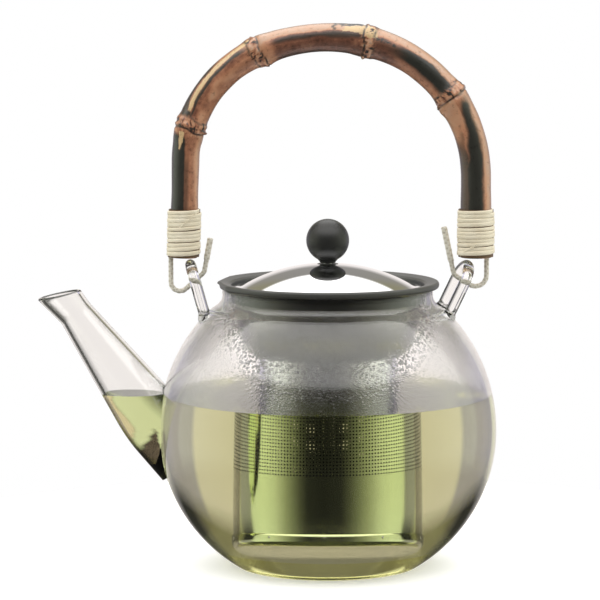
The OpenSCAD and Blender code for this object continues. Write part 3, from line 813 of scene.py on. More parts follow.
fa, fb = 36.55 - INF_R, 103 - FUN_Z - 0.02
fprof = [(INF_R - INF_T, FUN_Z + 0.02)] + [(INF_R + fa * cos(radians(90 - i * 90 / 28)), 103 - fb * sin(radians(90 - i * 90 / 28))) for i in range(29)] + \
    [(INF_R + fa, 109.0), (INF_R + fa - INF_T, 109.0)] + [(INF_R + (fa - INF_T) * cos(radians(i * 90 / 28)), 103 - (fb - INF_T) * sin(radians(i * 90 / 28))) for i in range(29)] + [(INF_R - INF_T, FUN_Z + 0.02 + INF_T)]
M_BOWL = steel("spun_funnel_steel", (0.38, 0.367, 0.36), 0.20, 0.06, 0.1)
funnel = lathe("infuser_bowl", fprof, 176, (M_BOWL,))
smooth_by_angle(funnel, 35)
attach(funnel, "infuser"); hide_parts("infuser_funnel")

# spot welds that hold the cap on the tube
def beads(name, points, normals, r, body, mat_, flat=0.35):
    verts, faces = [], []
    for p, n in zip(points, normals):
        p, n = np.array(p, float), np.array(n, float)
        n /= np.linalg.norm(n)
        a = np.cross(n, [0, 0, 1.0]); a /= np.linalg.norm(a)
        b = np.cross(n, a)
        base = len(verts)
        verts.append(p + n * r * flat)
        for i in range(1, 5):
            th = pi / 2 * i / 4
            for j in range(12):
                t = 2 * pi * j / 12
                verts.append(p + n * r * flat * cos(th) + r * sin(th) * (cos(t) * a + sin(t) * b))
        for j in range(12):
            faces.append([base, base + 1 + j, base + 1 + (j + 1) % 12])
            for i in range(3):
                q = base + 1 + i * 12
                faces.append([q + j, q + 12 + j, q + 12 + (j + 1) % 12, q + (j + 1) % 12])
    ob = make_obj(name, verts, faces, (mat_,))
    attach(ob, body)
    return ob
angs = [radians(-90 + d) for d in (-43, -2, 40, 85, 130, 175, -88, -133)]
beads("spot_welds", [((b_r - 0.02) * cos(a), (b_r - 0.02) * sin(a), INF_Z + 2.9) for a in angs], [(cos(a), sin(a), 0) for a in angs], 0.45, "infuser", M_WIRE)

# ---- collar: flange with a bullnose, a shallow dish inside it and a blunt beak over the spout
C_R, C_TOP, REC_R, LEDGE, BORE_R, SK_R, SK_Z, FL_Z = 44.1, 113.8, 38.3, 110.7, 36.6, 38.2, 105.3, 110.95
def collar_radial(t, r, z):
    if r < 40:
        return r
    x, y = cos(t), sin(t)
    lim = C_R
    if x < 0 and abs(y) < 18.8 / C_R + 0.2:
        # line from (-43.7, 0) to (-39.9, 18.8)
        ax, ay, bx, by = -43.7, 0.0, -39.9, 18.8
        yy = abs(y)
        den = x * (by - ay) - yy * (bx - ax)
        lim = min(C_R, (ax * (by - ay) - ay * (bx - ax)) / den)
        if z < FL_Z + 1.25 and abs(y) * lim < 12:
            lim = min(lim, 42.6 / abs(x))
    k = (r - 40) / (C_R - 40)
    return 40 + (lim - 40) * k
cpoly = [(BORE_R, SK_Z), (SK_R, SK_Z), (SK_R, FL_Z), (C_R, FL_Z), (C_R, C_TOP), (REC_R + 1.0, C_TOP - 0.9), (REC_R, C_TOP - 1.6), (REC_R, LEDGE), (BORE_R, LEDGE)]
crad = [0.25, 0.35, 0.4, 1.1, 1.15, 0.5, 0.35, 0.2, 0.15]
cp = rounded(cpoly, crad, 7)
collar = lathe("collar_ring", cp, 216, (M_BLACK,), radial=collar_radial)
smooth_by_angle(collar, 32)
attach(collar, "infuser"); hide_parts("infuser_collar")

# ---- lid: mirror dome pressed from sheet with a flat edge
LT, L_TOP, D_R, L_R = 0.6, 120.5, 34.4, 37.9
RIM_TOP = LEDGE + LT + 0.05
dh = L_TOP - RIM_TOP
DR = (D_R ** 2 + dh ** 2) / (2 * dh)
dome_z = lambda r, t: L_TOP - DR + sqrt((DR - t) ** 2 - r * r)
HOLE = 4.1
dp = [(L_R - 0.25, RIM_TOP - LT), (L_R - 0.05, RIM_TOP - LT + 0.12), (L_R, RIM_TOP - 0.3), (L_R - 0.05, RIM_TOP - 0.1), (L_R - 0.22, RIM_TOP)]
dp += [(r, RIM_TOP) for r in (37.0, 36.2, 35.6)]
# a soft coined bend from the flat edge into the dome
z1, s1 = dome_z(33.2, 0), -33.2 / sqrt(DR ** 2 - 33.2 ** 2)
for i in range(1, 9):
    u = i / 8
    h00, h10, h01, h11 = 2 * u**3 - 3 * u**2 + 1, u**3 - 2 * u**2 + u, -2 * u**3 + 3 * u**2, u**3 - u**2
    w = 35.3 - 33.2
    dp.append((35.3 - w * u, h00 * RIM_TOP + h10 * 0 + h01 * z1 + h11 * (-s1 * w)))
dp += [(r, dome_z(r, 0)) for r in np.linspace(32.4, HOLE + 0.4, 44)]
dp += [(HOLE + 0.12, dome_z(HOLE + 0.12, 0) - 0.03), (HOLE, dome_z(HOLE, 0) - 0.15), (HOLE, dome_z(HOLE, LT) + 0.05)]
dp += [(r, dome_z(r, LT)) for r in np.linspace(HOLE + 0.3, 33.2, 40)] + [(34.2, RIM_TOP - LT)]
dome = lathe("lid_dome_shell", dp, 240, (M_DOME,))
smooth_by_angle(dome, 40)
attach(dome, "lid"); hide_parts("lid_dome")
use("lid_skirt", M_BLACK); use("rod_bushing", M_BLACK)

# ---- knob: ball on a short neck
kz, kr, nr = L_TOP + 9.2, 8.5, 3.2
kp = [(0, kz + kr)] + [(kr * sin(radians(a)), kz + kr * cos(radians(a))) for a in np.linspace(3, 152, 54)]
kp += [(3.7, kz - 7.9), (3.35, kz - 8.15), (nr, kz - 8.4), (nr, L_TOP + 0.55), (nr - 0.25, L_TOP + 0.3), (0, L_TOP + 0.3)]
kp = [p for p in kp if not (p[1] < kz - 7.6 and p[0] > 3.8)]
knob = lathe("ball_knob", kp, 120, (M_KNOB,), closed=False)
smooth_by_angle(knob, 40)
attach(knob, "plunger"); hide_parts("knob")
use("plunger_rod", M_WIRE); use("plunger_hub", M_BLACK); use("plunger_disc", steel("press_disc_steel", (0.68, 0.67, 0.66), 0.12, 0.04, 0.05)); use("plunger_seal", M_SEAL); use("plunger_nut", M_WIRE)
use("collar_seal", M_SEAL)

# ================================================================= bamboo handle
def band(x, lo, hi, soft):
    return sstep(x, lo - soft, lo + soft) * (1 - sstep(x, hi - soft, hi + soft))

def value_noise(p, seed):
    """Smooth noise of one or two coordinates, the same on every run."""
    p = np.atleast_2d(np.asarray(p, float))
    i = np.floor(p).astype(int)
    f = p - i
    f = f * f * (3 - 2 * f)
    def h(a, b):
        x = np.sin(a * 127.1 + b * 311.7 + seed * 74.7) * 43758.5453
        return x - np.floor(x)
    a, b = i[:, 0], i[:, 1]
    u, v = f[:, 0], f[:, 1]
    return (h(a, b) * (1 - u) + h(a + 1, b) * u) * (1 - v) + (h(a, b + 1) * (1 - u) + h(a + 1, b + 1) * u) * v

LEG_X, CANE_END = 58.5, 122.9
ARCS = [((3.7, 154.5), 54.8, 0, 35), ((3.7, 154.5), 54.8, 35, 78.4), ((0.443, 138.631), 71.0, 78.4, 112.4), ((-8.512, 160.358), 47.5, 112.4, 163.5), ((-8.512, 160.358), 47.5, 163.5, 178.5)]
CANE_R = [6.3, 6.15, 5.95, 5.85, 5.68]
LEFT_TOP = (-55.996, 161.601)

def cane_path(step=0.6):
    P, N, K, S = [], [], [], []
    s = 0.0
    L = 154.5 - CANE_END
    n = int(L / step)
    for i in range(n):
        P.append((LEG_X, CANE_END + L * i / n)); N.append((1, 0)); K.append(0); S.append(s + L * i / n)
    s += L
    for k, (c, R, a0, a1) in enumerate(ARCS):
        L = R * radians(a1 - a0)
        n = max(2, int(L / step))
        for i in range(n):
            a = radians(a0 + (a1 - a0) * i / n)
            P.append((c[0] + R * cos(a), c[1] + R * sin(a))); N.append((cos(a), sin(a))); K.append(k); S.append(s + L * i / n)
        s += L
    a = radians(178.5)
    d = (sin(a) * -1 * -1, 0)
    t = np.array([-sin(a), cos(a)])                      # the way on along the arch
    end_len = (LEFT_TOP[1] - CANE_END) / abs(t[1])
    n = int(end_len / step)
    for i in range(n + 1):
        q = np.array(LEFT_TOP) + t * end_len * i / n
        P.append(tuple(q)); N.append((cos(a), sin(a))); K.append(4); S.append(s + end_len * i / n)
    return np.array(P), np.array(N), np.array(K), np.array(S)

CP, CN, CK, CS = cane_path()
NODE_S = [float(CS[np.where(CK == k)[0][0]]) for k in (1, 2, 3, 4)]
SEG = [0.0] + NODE_S + [float(CS[-1])]

def build_cane(seg=100):
    n = len(CP)
    ph = np.linspace(0, 2 * pi, seg, endpoint=False)        # 0 outer edge, pi/2 front
    Sg, Ph = np.meshgrid(CS, ph, indexing="ij")
    rad0 = np.interp(CS, [SEG[0], SEG[1] - 6, SEG[1] + 6, SEG[2] - 6, SEG[2] + 6, SEG[3] - 6, SEG[3] + 6, SEG[4] - 6, SEG[4] + 6, SEG[5]],
                     [CANE_R[0]] * 2 + [CANE_R[1]] * 2 + [CANE_R[2]] * 2 + [CANE_R[3]] * 2 + [CANE_R[4]] * 2)
    R = np.repeat(rad0[:, None], seg, 1)
    flat = np.stack([Sg.ravel(), Ph.ravel()], 1)
    cyc = np.stack([Sg.ravel(), np.cos(Ph.ravel()) * 1.4 + 9, ], 1)
    cyc2 = np.stack([Sg.ravel(), np.sin(Ph.ravel()) * 1.4 + 5], 1)
    wav = (value_noise(cyc * [1 / 9.0, 1.2], 3) + value_noise(cyc2 * [1 / 7.0, 1.2], 5) - 1).reshape(Sg.shape)
    R += 0.16 * wav
    # thinner between nodes, as the cane grows
    for i in range(5):
        m = (Sg >= SEG[i]) & (Sg <= SEG[i + 1])
        t = (Sg - SEG[i]) / (SEG[i + 1] - SEG[i])
        R -= np.where(m, 0.34 * np.sin(pi * np.clip(t, 0, 1)) ** 0.8, 0)
    node_tilt = [(0.9, 0.4, 0.9), (0.5, 2.2, -0.9), (0.8, 1.3, 0.9), (0.7, 4.0, -0.8)]
    for (ns, (amp, off, way)) in zip(NODE_S, node_tilt):
        wob = amp * np.sin(Ph + off) + 0.35 * np.sin(3 * Ph + off * 2) + 0.2 * np.sin(5 * Ph + off)
        d = (Sg - ns - wob) * way
        R += 0.62 * np.exp(-(d / 0.42) ** 2) + 0.46 * np.exp(-((d - 1.8) / 1.9) ** 2) + 0.30 * np.exp(-((d + 2.6) / 2.2) ** 2)
        R -= 0.42 * np.exp(-((d + 0.75) / 0.28) ** 2)
        kn = value_noise(np.stack([Sg.ravel() / 1.3, np.cos(Ph.ravel()) * 3 + 20 + ns], 1), 11).reshape(Sg.shape)
        R += 0.62 * (kn - 0.4) * np.exp(-((d - 1.4) / 2.6) ** 2)
    # bud scars and the heels of cut twigs: node, offset along, angle, size along, size round, height
    for (i, ds, a, la, lr, h) in ((3, 1.0, 0.65, 2.6, 0.42, 0.75), (3, -1.8, 1.15, 1.5, 0.25, 0.4), (3, 0.2, 2.9, 0.6, 0.35, 0.5), (2, -1.6, 2.75, 2.0, 0.55, 0.85), (2, -2.2, 0.6, 2.2, 0.4, 0.35),
                                  (1, -0.4, 2.75, 1.6, 0.42, 0.8), (1, 1.2, 0.75, 3.0, 0.42, 0.35), (0, -2.4, 2.75, 2.4, 0.45, 0.7), (0, 0.6, 0.55, 2.0, 0.4, 0.55), (0, -1.5, 1.5, 1.6, 0.3, 0.35)):
        dphi = np.abs((Ph - a + pi) % (2 * pi) - pi)
        R += h * np.exp(-((Sg - NODE_S[i] - ds) / la) ** 2 - (dphi / lr) ** 2)
    cap = np.repeat(rad0[:, None], seg, 1) + 0.28
    near = np.zeros_like(R)
    for ns in NODE_S:
        near = np.maximum(near, np.exp(-((Sg - ns) / 4.2) ** 4))
    R = np.minimum(R, cap + 0.95 * near)
    # the sawn ends are slightly rounded
    end = np.minimum(Sg - CS[0], CS[-1] - Sg)
    R -= 0.35 * np.exp(-end / 0.35)
    X = CP[:, 0][:, None] + CN[:, 0][:, None] * R * np.cos(Ph)
    Z = CP[:, 1][:, None] + CN[:, 1][:, None] * R * np.cos(Ph)
    Y = -R * np.sin(Ph)
    verts = np.stack([X.ravel(), Y.ravel(), Z.ravel()], 1).tolist()
    faces = [[i * seg + j, i * seg + (j + 1) % seg, (i + 1) * seg + (j + 1) % seg, (i + 1) * seg + j] for i in range(n - 1) for j in range(seg)]
    # ends: pith hollow
    for row, k in ((0, 0), (n - 1, -1)):
        c = CP[row]
        base = len(verts)
        for f in (0.62, 0.55):
            for j in range(seg):
                v = np.array(verts[row * seg + j])
                o = np.array([c[0], 0, c[1]])
                up = np.array([0, 0, 1.0]) * (0 if f == 0.62 else 1.2)
                verts.append((o + (v - o) * f + up).tolist())
        ctr = len(verts)
        verts.append([c[0], 0, c[1] + 1.3])
        for j in range(seg):
            a, b = row * seg + j, row * seg + (j + 1) % seg
            c0, d0 = base + j, base + (j + 1) % seg
            e0, g0 = base + seg + j, base + seg + (j + 1) % seg
            faces += [[a, b, d0, c0], [c0, d0, g0, e0], [e0, g0, ctr]]
    ob = make_obj("bamboo_cane", verts, faces, (M_BAMBOO,))
    fix_normals(ob)
    # ---- paint masks
    v = np.cos(Ph); t = np.zeros_like(Sg); seg_id = np.zeros(Sg.shape, int)
    for i in range(5):
        m = (Sg >= SEG[i]) & (Sg <= SEG[i + 1] + 1e-6)
        seg_id[m] = i
        t = np.where(m, (Sg - SEG[i]) / (SEG[i + 1] - SEG[i]), t)
    nz = (value_noise(np.stack([Sg.ravel() / 5.0, v.ravel() * 2.5 + 7], 1), 21) - 0.5).reshape(Sg.shape)
    nf = (value_noise(np.stack([Sg.ravel() / 1.4, v.ravel() * 9 + 7], 1), 22) - 0.5).reshape(Sg.shape)
    nk = (value_noise(np.stack([Sg.ravel() / 0.55, v.ravel() * 16 + 3], 1), 23) - 0.5).reshape(Sg.shape)
    nf = 0.7 * nf + 0.5 * nk
    ve = v + 0.20 * nz + 0.07 * nf
    te = t + 0.07 * nz + 0.02 * nf
    char = np.zeros_like(v); warm = np.full_like(v, 0.5); straw = np.zeros_like(v)
    # right leg
    m = seg_id == 0
    lo = np.interp(t, [0, 0.55, 0.8, 1], [-0.62, -0.55, -0.10, 0.35]); hi = np.interp(t, [0, 0.3, 0.55, 0.8, 1], [0.30, 0.42, 0.42, 0.62, 0.75])
    c = sstep(ve, lo - 0.22, lo + 0.22) * (1 - sstep(ve, hi - 0.24, hi + 0.22)) * (1 - 0.8 * sstep(te, 0.90, 0.98))
    c = np.maximum(c, 0.62 * (1 - sstep(ve, -0.55, -0.35)) * (1 - sstep(te, 0.62, 0.85)))
    char = np.where(m, c, char)
    warm = np.where(m, np.where(v > 0, 0.42 + 0.42 * sstep(ve, 0.40, 0.72), 0.30 + 0.42 * sstep(te, 0.6, 0.9)), warm)
    # far haunch
    m = seg_id == 1
    lo = np.interp(t, [0, 0.5, 0.8, 1], [-0.50, -0.42, -0.2, 0.0]); hi = np.interp(t, [0, 0.35, 0.7, 1], [0.52, 0.55, 0.42, 0.30])
    c = sstep(ve, lo - 0.26, lo + 0.26) * (1 - sstep(ve, hi - 0.16, hi + 0.12)) * (1 - 0.72 * sstep(te, 0.50, 0.82)) * sstep(te, 0.01, 0.05)
    char = np.where(m, c, char)
    warm = np.where(m, np.where(v > 0.1, 0.22 + 0.70 * sstep(ve, 0.42, 0.66), 0.42 - 0.28 * sstep(te, 0.5, 0.8)), warm)
    straw = np.where(m, band(ve + 0.3 * nf, 0.36, 0.86, 0.10) * sstep(te, 0.87, 0.94) * sstep(nf, -0.30, -0.05), straw)
    char = np.where(m, np.maximum(char, 0.95 * band(ve + 0.25 * nf, 0.30, 0.46, 0.06) * band(te, 0.72, 0.93, 0.02) * sstep(nf, -0.22, 0.0)), char)
    # crown: its upper side is paler, its own burnt colour with a painted highlight laid on it
    m = seg_id == 2
    c = 0.66 * band(ve, 0.10, 0.42, 0.17) * (1 - sstep(te, 0.78, 0.96)) + 0.42 * (1 - sstep(ve, -1.0, -0.55)) * (1 - sstep(te, 0.8, 0.97))
    char = np.where(m, c, char)
    # painted highlight: warm rises on the upper (outer) side of the crown
    warm = np.where(m, 0.16 + 0.78 * sstep(ve, 0.42, 0.60) + 0.40 * sstep(te, 0.80, 0.97) * (1 - sstep(ve, 0.4, 0.6)), warm)
    straw = np.where(m, 0.95 * band(ve + 0.35 * nf, 0.42, 0.88, 0.12) * (1 - sstep(te, 0.16, 0.27)), straw)
    char = np.where(m, np.maximum(char, 0.9 * band(ve + 0.15 * nf, 0.88, 1.2, 0.04) * (1 - sstep(te, 0.22, 0.28))), char)
    char = np.where(m, np.maximum(char, 0.8 * np.exp(-((te - 0.27) / 0.012) ** 2) * band(ve, 0.5, 1.0, 0.05)), char)
    # near haunch
    m = seg_id == 3
    mid = np.interp(t, [0, 0.2, 0.7, 1], [0.86, 0.80, 0.62, 0.40])
    sw = np.interp(t, [0, 0.1, 0.4, 0.8, 0.95], [0.02, 0.05, 0.075, 0.09, 0.05])
    straw = np.where(m, 0.9 * (1 - sstep(np.abs(v + 0.05 * nz + 0.05 * nf - mid), sw, sw + 0.09)) * band(te, 0.05, 0.88, 0.05), straw)
    c = np.maximum(0.72 * sstep(ve, mid + 0.10, mid + 0.24) * sstep(te, 0.25, 0.5), 0.80 * (1 - sstep(np.abs(ve - (mid - 0.25)), 0.03, 0.20)) * band(te, 0.12, 0.95, 0.10))
    c = np.maximum(c, 0.98 * band(ve + 0.3 * nf, 0.12, 0.98, 0.12) * band(te, 0.88, 0.965, 0.02))
    char = np.where(m, c, char)
    warm = np.where(m, 0.46 + 0.44 * nz + 0.02 * (1 - sstep(ve, -0.95, -0.7)) + 0.2 * (1 - sstep(te, 0.02, 0.14)) - 0.20 * band(v, 0.05, 0.45, 0.15), warm)
    # left leg
    m = seg_id == 4
    edge = np.interp(t, [0, 0.2, 1], [0.20, 0.02, -0.02])
    c = (0.93 - 0.25 * sstep(v, 0.75, 1.0)) * sstep(v + 0.05 * nf, edge - 0.10, edge + 0.12) * sstep(te, 0.03, 0.07)
    c = np.maximum(c, 0.42 * band(v, edge - 0.30, edge + 0.1, 0.16) * sstep(te, 0.1, 0.3))
    char = np.where(m, c, char)
    warm = np.where(m, 0.34 + 0.40 * (1 - sstep(ve, -0.90, -0.55)), warm)
    drop = (1 - sstep(np.abs(v + 0.12 * nf - 0.44 - 0.06 * t), 0.02 + 0.8 * np.clip(0.17 - t, 0, 0.14), 0.12 + 0.8 * np.clip(0.17 - t, 0, 0.14))) * band(t, 0.03, 0.165, 0.012)
    straw = np.where(m, drop * 0.9, straw)
    char = np.where(m, char * (1 - drop), char)
    # the nodes: pale knobbly bark with a dark groove
    for (ns, (amp, off, way)) in zip(NODE_S, node_tilt):
        wob = amp * np.sin(Ph + off) + 0.35 * np.sin(3 * Ph + off * 2) + 0.2 * np.sin(5 * Ph + off)
        d = (Sg - ns - wob) * way
        g = np.exp(-((d - 1.0 + 1.6 * nf) / 2.3) ** 4)
        warm = warm * (1 - g) + g * (0.50 + 1.5 * nf)
        char = char * (1 - 0.9 * g * sstep(nf, -0.38, -0.15))
        char = np.maximum(char, 0.85 * g * sstep(-nf, 0.16, 0.30))
        char = np.maximum(char, (0.55 + 0.8 * nf) * np.exp(-((d - 2.9) / 0.42) ** 2))
        char = np.maximum(char, 0.85 * np.exp(-((d + 0.75) / 0.30) ** 2))
        straw = np.maximum(straw, 0.62 * g * sstep(nf, 0.20, 0.42))
    extra = len(verts) - Sg.size
    for nm, arr, fill in (("char", char, 0.1), ("warm", warm, 0.8), ("straw", straw, 0.6), ("along", Sg, 0.0), ("around", Ph * 6.0, 0.0)):
        full = np.concatenate([np.asarray(arr, float).ravel(), np.full(extra, fill)])
        a = ob.data.attributes.new(nm, "FLOAT", "POINT")
        a.data.foreach_set("value", full.astype(np.float32))
    return ob

def bamboo_mat():
    m, nt = new_mat("burnt_bamboo")
    ch, wa, st = attr(nt, "char"), attr(nt, "warm"), attr(nt, "straw")
    v = nd(nt, "ShaderNodeTexCoord").outputs["Object"]
    sn = noise(nt, v, 260, 5, 0.65)
    mott = noise(nt, v, 620, 4, 0.6)
    fine = noise(nt, v, 2400, 3, 0.6)
    # fibres run along the cane: short round it, long along it
    vec = nd(nt, "ShaderNodeCombineXYZ", X=math_(nt, "MULTIPLY", attr(nt, "along"), 0.05), Y=math_(nt, "MULTIPLY", attr(nt, "around"), 1.6)).outputs[0]
    fib = nd(nt, "ShaderNodeTexNoise", Vector=vec, Scale=1.6, Detail=4.0, Roughness=0.7).outputs["Fac"]
    w = math_(nt, "ADD", wa, math_(nt, "MULTIPLY_ADD", sn, 0.60, -0.30))
    w = math_(nt, "ADD", w, math_(nt, "MULTIPLY_ADD", mott, 0.26, -0.13))
    w = math_(nt, "ADD", w, math_(nt, "MULTIPLY_ADD", fib, 0.20, -0.10), clamp=True)
    col = ramp(nt, w, [(0.0, (0.105, 0.042, 0.027)), (0.18, (0.230, 0.094, 0.058)), (0.38, (0.45, 0.195, 0.110)), (0.58, (0.61, 0.300, 0.172)), (0.76, (0.62, 0.340, 0.210)), (1.0, (0.60, 0.39, 0.28))])
    s2 = math_(nt, "ADD", st, math_(nt, "MULTIPLY_ADD", mott, 0.5, -0.25))
    sm = ramp(nt, s2, [(0.0, 0.0), (0.38, 0.0), (0.58, 1.0), (1.0, 1.0)])
    col = mix_rgb(nt, sm, col, (0.72, 0.50, 0.27))
    c2 = math_(nt, "ADD", ch, math_(nt, "MULTIPLY_ADD", sn, 0.34, -0.17))
    c2 = math_(nt, "ADD", c2, math_(nt, "MULTIPLY_ADD", mott, 0.22, -0.11))
    cm = ramp(nt, c2, [(0.0, 0.0), (0.10, 0.0), (0.45, 0.60), (0.70, 0.92), (0.90, 1.0), (1.0, 1.0)])
    black = mix_rgb(nt, fib, (0.020, 0.021, 0.018), (0.048, 0.046, 0.038))
    col = mix_rgb(nt, cm, col, black)
    pits = ramp(nt, mott, [(0.0, 0.45), (0.34, 0.72), (0.42, 1.0), (1.0, 1.0)])
    col = mix_rgb(nt, 1.0, col, pits, "MULTIPLY")
    # painted shade: the colour darkens towards the grazing edges of the cane
    graze = nd(nt, "ShaderNodeLayerWeight", Blend=0.5).outputs["Facing"]
    rim = ramp(nt, graze, [(0.0, 1.0), (0.42, 1.0), (0.74, 0.62), (1.0, 0.28)])
    col = mix_rgb(nt, 1.0, col, rim, "MULTIPLY")
    h = math_(nt, "MULTIPLY_ADD", fib, 0.6, math_(nt, "MULTIPLY", mott, 0.5))
    h = math_(nt, "MULTIPLY_ADD", fine, 0.15, h)
    b = bump(nt, h, 0.35, 0.00025)
    r = math_(nt, "MULTIPLY_ADD", sn, 0.22, 0.26)
    p = nd(nt, "ShaderNodeBsdfPrincipled", Base_Color=col, Roughness=r, Normal=b)
    p.inputs["Coat Weight"].default_value = 0.22
    p.inputs["Coat Roughness"].default_value = 0.20
    out(nt, p.outputs[0])
    return m
M_BAMBOO = bamboo_mat()
cane = build_cane()
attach(cane, "handle"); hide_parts("bamboo_handle")

# ---- split rattan bound round the cane's ends
def rattan_mat():
    m, nt = new_mat("split_rattan")
    v = nd(nt, "ShaderNodeTexCoord").outputs["Object"]
    n1 = noise(nt, v, 180, 3)
    vz = nd(nt, "ShaderNodeMapping", Vector=v, Scale=(1, 1, 7)).outputs[0]
    fib = noise(nt, vz, 900, 4, 0.7)
    painted_gap_shade = attr(nt, "painted_gap_shade")
    col = ramp(nt, math_(nt, "MULTIPLY_ADD", n1, 0.6, math_(nt, "MULTIPLY", fib, 0.4)), [(0.0, (0.58, 0.46, 0.30)), (0.36, (0.84, 0.74, 0.56)), (0.6, (0.93, 0.85, 0.69)), (1.0, (0.96, 0.91, 0.80))])
    # painted shade: the strips' inward sides and the lining between the turns are dark
    col = mix_rgb(nt, painted_gap_shade, col, (0.16, 0.095, 0.05))
    b = bump(nt, fib, 0.5, 0.00018)
    p = nd(nt, "ShaderNodeBsdfPrincipled", Base_Color=col, Normal=b, Roughness=math_(nt, "MULTIPLY_ADD", n1, 0.2, 0.42))
    out(nt, p.outputs[0])
    return m
M_RATTAN = rattan_mat()

def wrap(side):
    z0, z1 = 122.9, 142.4
    core_r = CANE_R[0] if side > 0 else CANE_R[4]
    full = (6.5 if side > 0 else 5.8) + 1.05
    turns, seg = 11, 84
    width = (z1 - z0) / turns
    rng = [0.0, -0.16, 0.30, -0.10, 0.42, 0.16, -0.12, 0.10, -0.06, 0.12, 0.0, 0.0] if side < 0 else [0.0, 0.34, -0.04, 0.36, 0.02, 0.26, -0.20, -0.28, 0.20, -0.10, 0.26, 0.0]
    lean = tan(radians(1.5)) if side < 0 else 0.0
    def axis(z):
        return LEG_X if side > 0 else LEFT_TOP[0] + lean * (z - LEFT_TOP[1])
    prof_n = 14
    verts, faces, painted_gap_shade = [], [], []
    n = turns * seg
    th = 0.96
    for i in range(n + 1):
        a = 2 * pi * i / seg
        k = i / seg
        j = int(min(k, turns - 1e-6))
        f = k - j
        jit = rng[j] * (1 - f) + rng[j + 1] * f
        zc = z0 + width * 0.5 + (z1 - z0 - width) * (i / n) + 0.85 * jit + 0.10 * sin(a * 1.0 + 1.3 * j)
        wd = (width - 0.16) * (1 + 0.24 * (value_noise([[k * 0.9, 2.0]], 33)[0] - 0.5))
        thick = th * (1 - 0.05 * (value_noise([[k * 2.1, 5.0]], 34)[0]))
        lift = 0.42 * (value_noise([[k * 1.3, 8.0 + side]], 35)[0] - 0.7)
        taper = min(1.0, i / 10, (n - i) / 10)
        for q in range(prof_n):
            t = 2 * pi * q / prof_n
            cx, sx = cos(t), sin(t)
            x = np.sign(cx) * abs(cx) ** 0.75 * thick / 2 * (0.4 + 0.6 * taper)
            zz = np.sign(sx) * abs(sx) ** 0.55 * wd / 2
            rr = full - th / 2 - 0.06 + x + lift * 0.6 - 0.5 * (1 - taper)
            rr = min(rr, full)
            zt = min(max(zc + zz, z0 + 0.01), z1 - 0.01)
            verts.append((axis(zt) + rr * cos(a), rr * sin(a), zt))
            # painted shade on the strip's inward side
            painted_gap_shade.append(0.0 if cx > -0.35 else 0.8)
    for i in range(n):
        for q in range(prof_n):
            faces.append([i * prof_n + q, (i + 1) * prof_n + q, (i + 1) * prof_n + (q + 1) % prof_n, i * prof_n + (q + 1) % prof_n])
    faces += [[q for q in range(prof_n)], [n * prof_n + q for q in range(prof_n)][::-1]]
    # painted shade: a dark lining that shows between the turns
    base = len(verts)
    rows = [(z0 + 0.35, core_r + 0.05), (z0 + 0.35, full - 0.62), (z1 - 0.35, full - 0.62), (z1 - 0.35, core_r + 0.05)]
    for z, r in rows:
        for j in range(64):
            a = 2 * pi * j / 64
            verts.append((axis(z) + r * cos(a), r * sin(a), z)); painted_gap_shade.append(1.0)
    for i in range(3):
        for j in range(64):
            faces.append([base + i * 64 + j, base + i * 64 + (j + 1) % 64, base + (i + 1) * 64 + (j + 1) % 64, base + (i + 1) * 64 + j])
    # one strand laid across to lock the binding
    b2 = len(verts)
    m, W = 26, 8
    a0, a1 = (-40, -108) if side < 0 else (-150, -80)
    zz0, zz1 = (z1 - 1.0, z1 - 7.6) if side < 0 else (z0 + 1.2, z0 + 6.4)
    for i in range(m + 1):
        u = i / m
        a = radians(a0 + (a1 - a0) * u)
        z = zz0 + (zz1 - zz0) * u
        lift = 0.10 * sin(pi * u) - 0.35 * (1 - min(1, 6 * u, 6 * (1 - u)))
        for q in range(W):
            t = 2 * pi * q / W
            rr = min(full - 0.25 + 0.26 * cos(t) + lift, full)
            zt = z + 0.62 * sin(t)
            verts.append((axis(zt) + rr * cos(a + 0.05 * sin(t)), rr * sin(a + 0.05 * sin(t)), zt)); painted_gap_shade.append(0.0)
    for i in range(m):
        for q in range(W):
            faces.append([b2 + i * W + q, b2 + i * W + (q + 1) % W, b2 + (i + 1) * W + (q + 1) % W, b2 + (i + 1) * W + q])
    faces += [[b2 + q for q in range(W)], [b2 + m * W + q for q in range(W)][::-1]]
    nm = "rattan_binding_" + ("right" if side > 0 else "left")
    ob = make_obj(nm, verts, faces, (M_RATTAN,))
    fix_normals(ob)
    smooth_by_angle(ob, 50)
    a = ob.data.attributes.new("painted_gap_shade", "FLOAT", "POINT")
    a.data.foreach_set("value", np.array(painted_gap_shade, np.float32))
    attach(ob, "handle")
    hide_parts("rattan_wrap_right" if side > 0 else "rattan_wrap_left")
    return ob
for sd in (-1, 1):
    wrap(sd)

# ---- braided sleeves over the hooks' wire
def sleeve_mat():
    m, nt = new_mat("braided_sleeve")
    v = nd(nt, "ShaderNodeTexCoord").outputs["Object"]
    n1 = noise(nt, v, 500, 3)
    n2 = noise(nt, v, 3000, 3)
    braid_shade_fac = attr(nt, "braid_shade")
    # painted shade: the braid's valleys and the groove near the end are darker than its crests
    x = math_(nt, "MULTIPLY_ADD", n2, 0.35, math_(nt, "MULTIPLY", braid_shade_fac, 0.75), clamp=True)
    col = ramp(nt, x, [(0.0, (0.36, 0.32, 0.25)), (0.30, (0.60, 0.55, 0.455)), (0.55, (0.80, 0.755, 0.66)), (1.0, (0.88, 0.845, 0.76))])
    col = mix_rgb(nt, math_(nt, "MULTIPLY", n1, 0.35), col, (0.50, 0.43, 0.32))
    p = nd(nt, "ShaderNodeBsdfPrincipled", Base_Color=col, Roughness=math_(nt, "MULTIPLY_ADD", n1, 0.2, 0.5), Normal=bump(nt, n2, 0.3, 0.0001))
    out(nt, p.outputs[0])
    return m
M_SLEEVE = sleeve_mat()

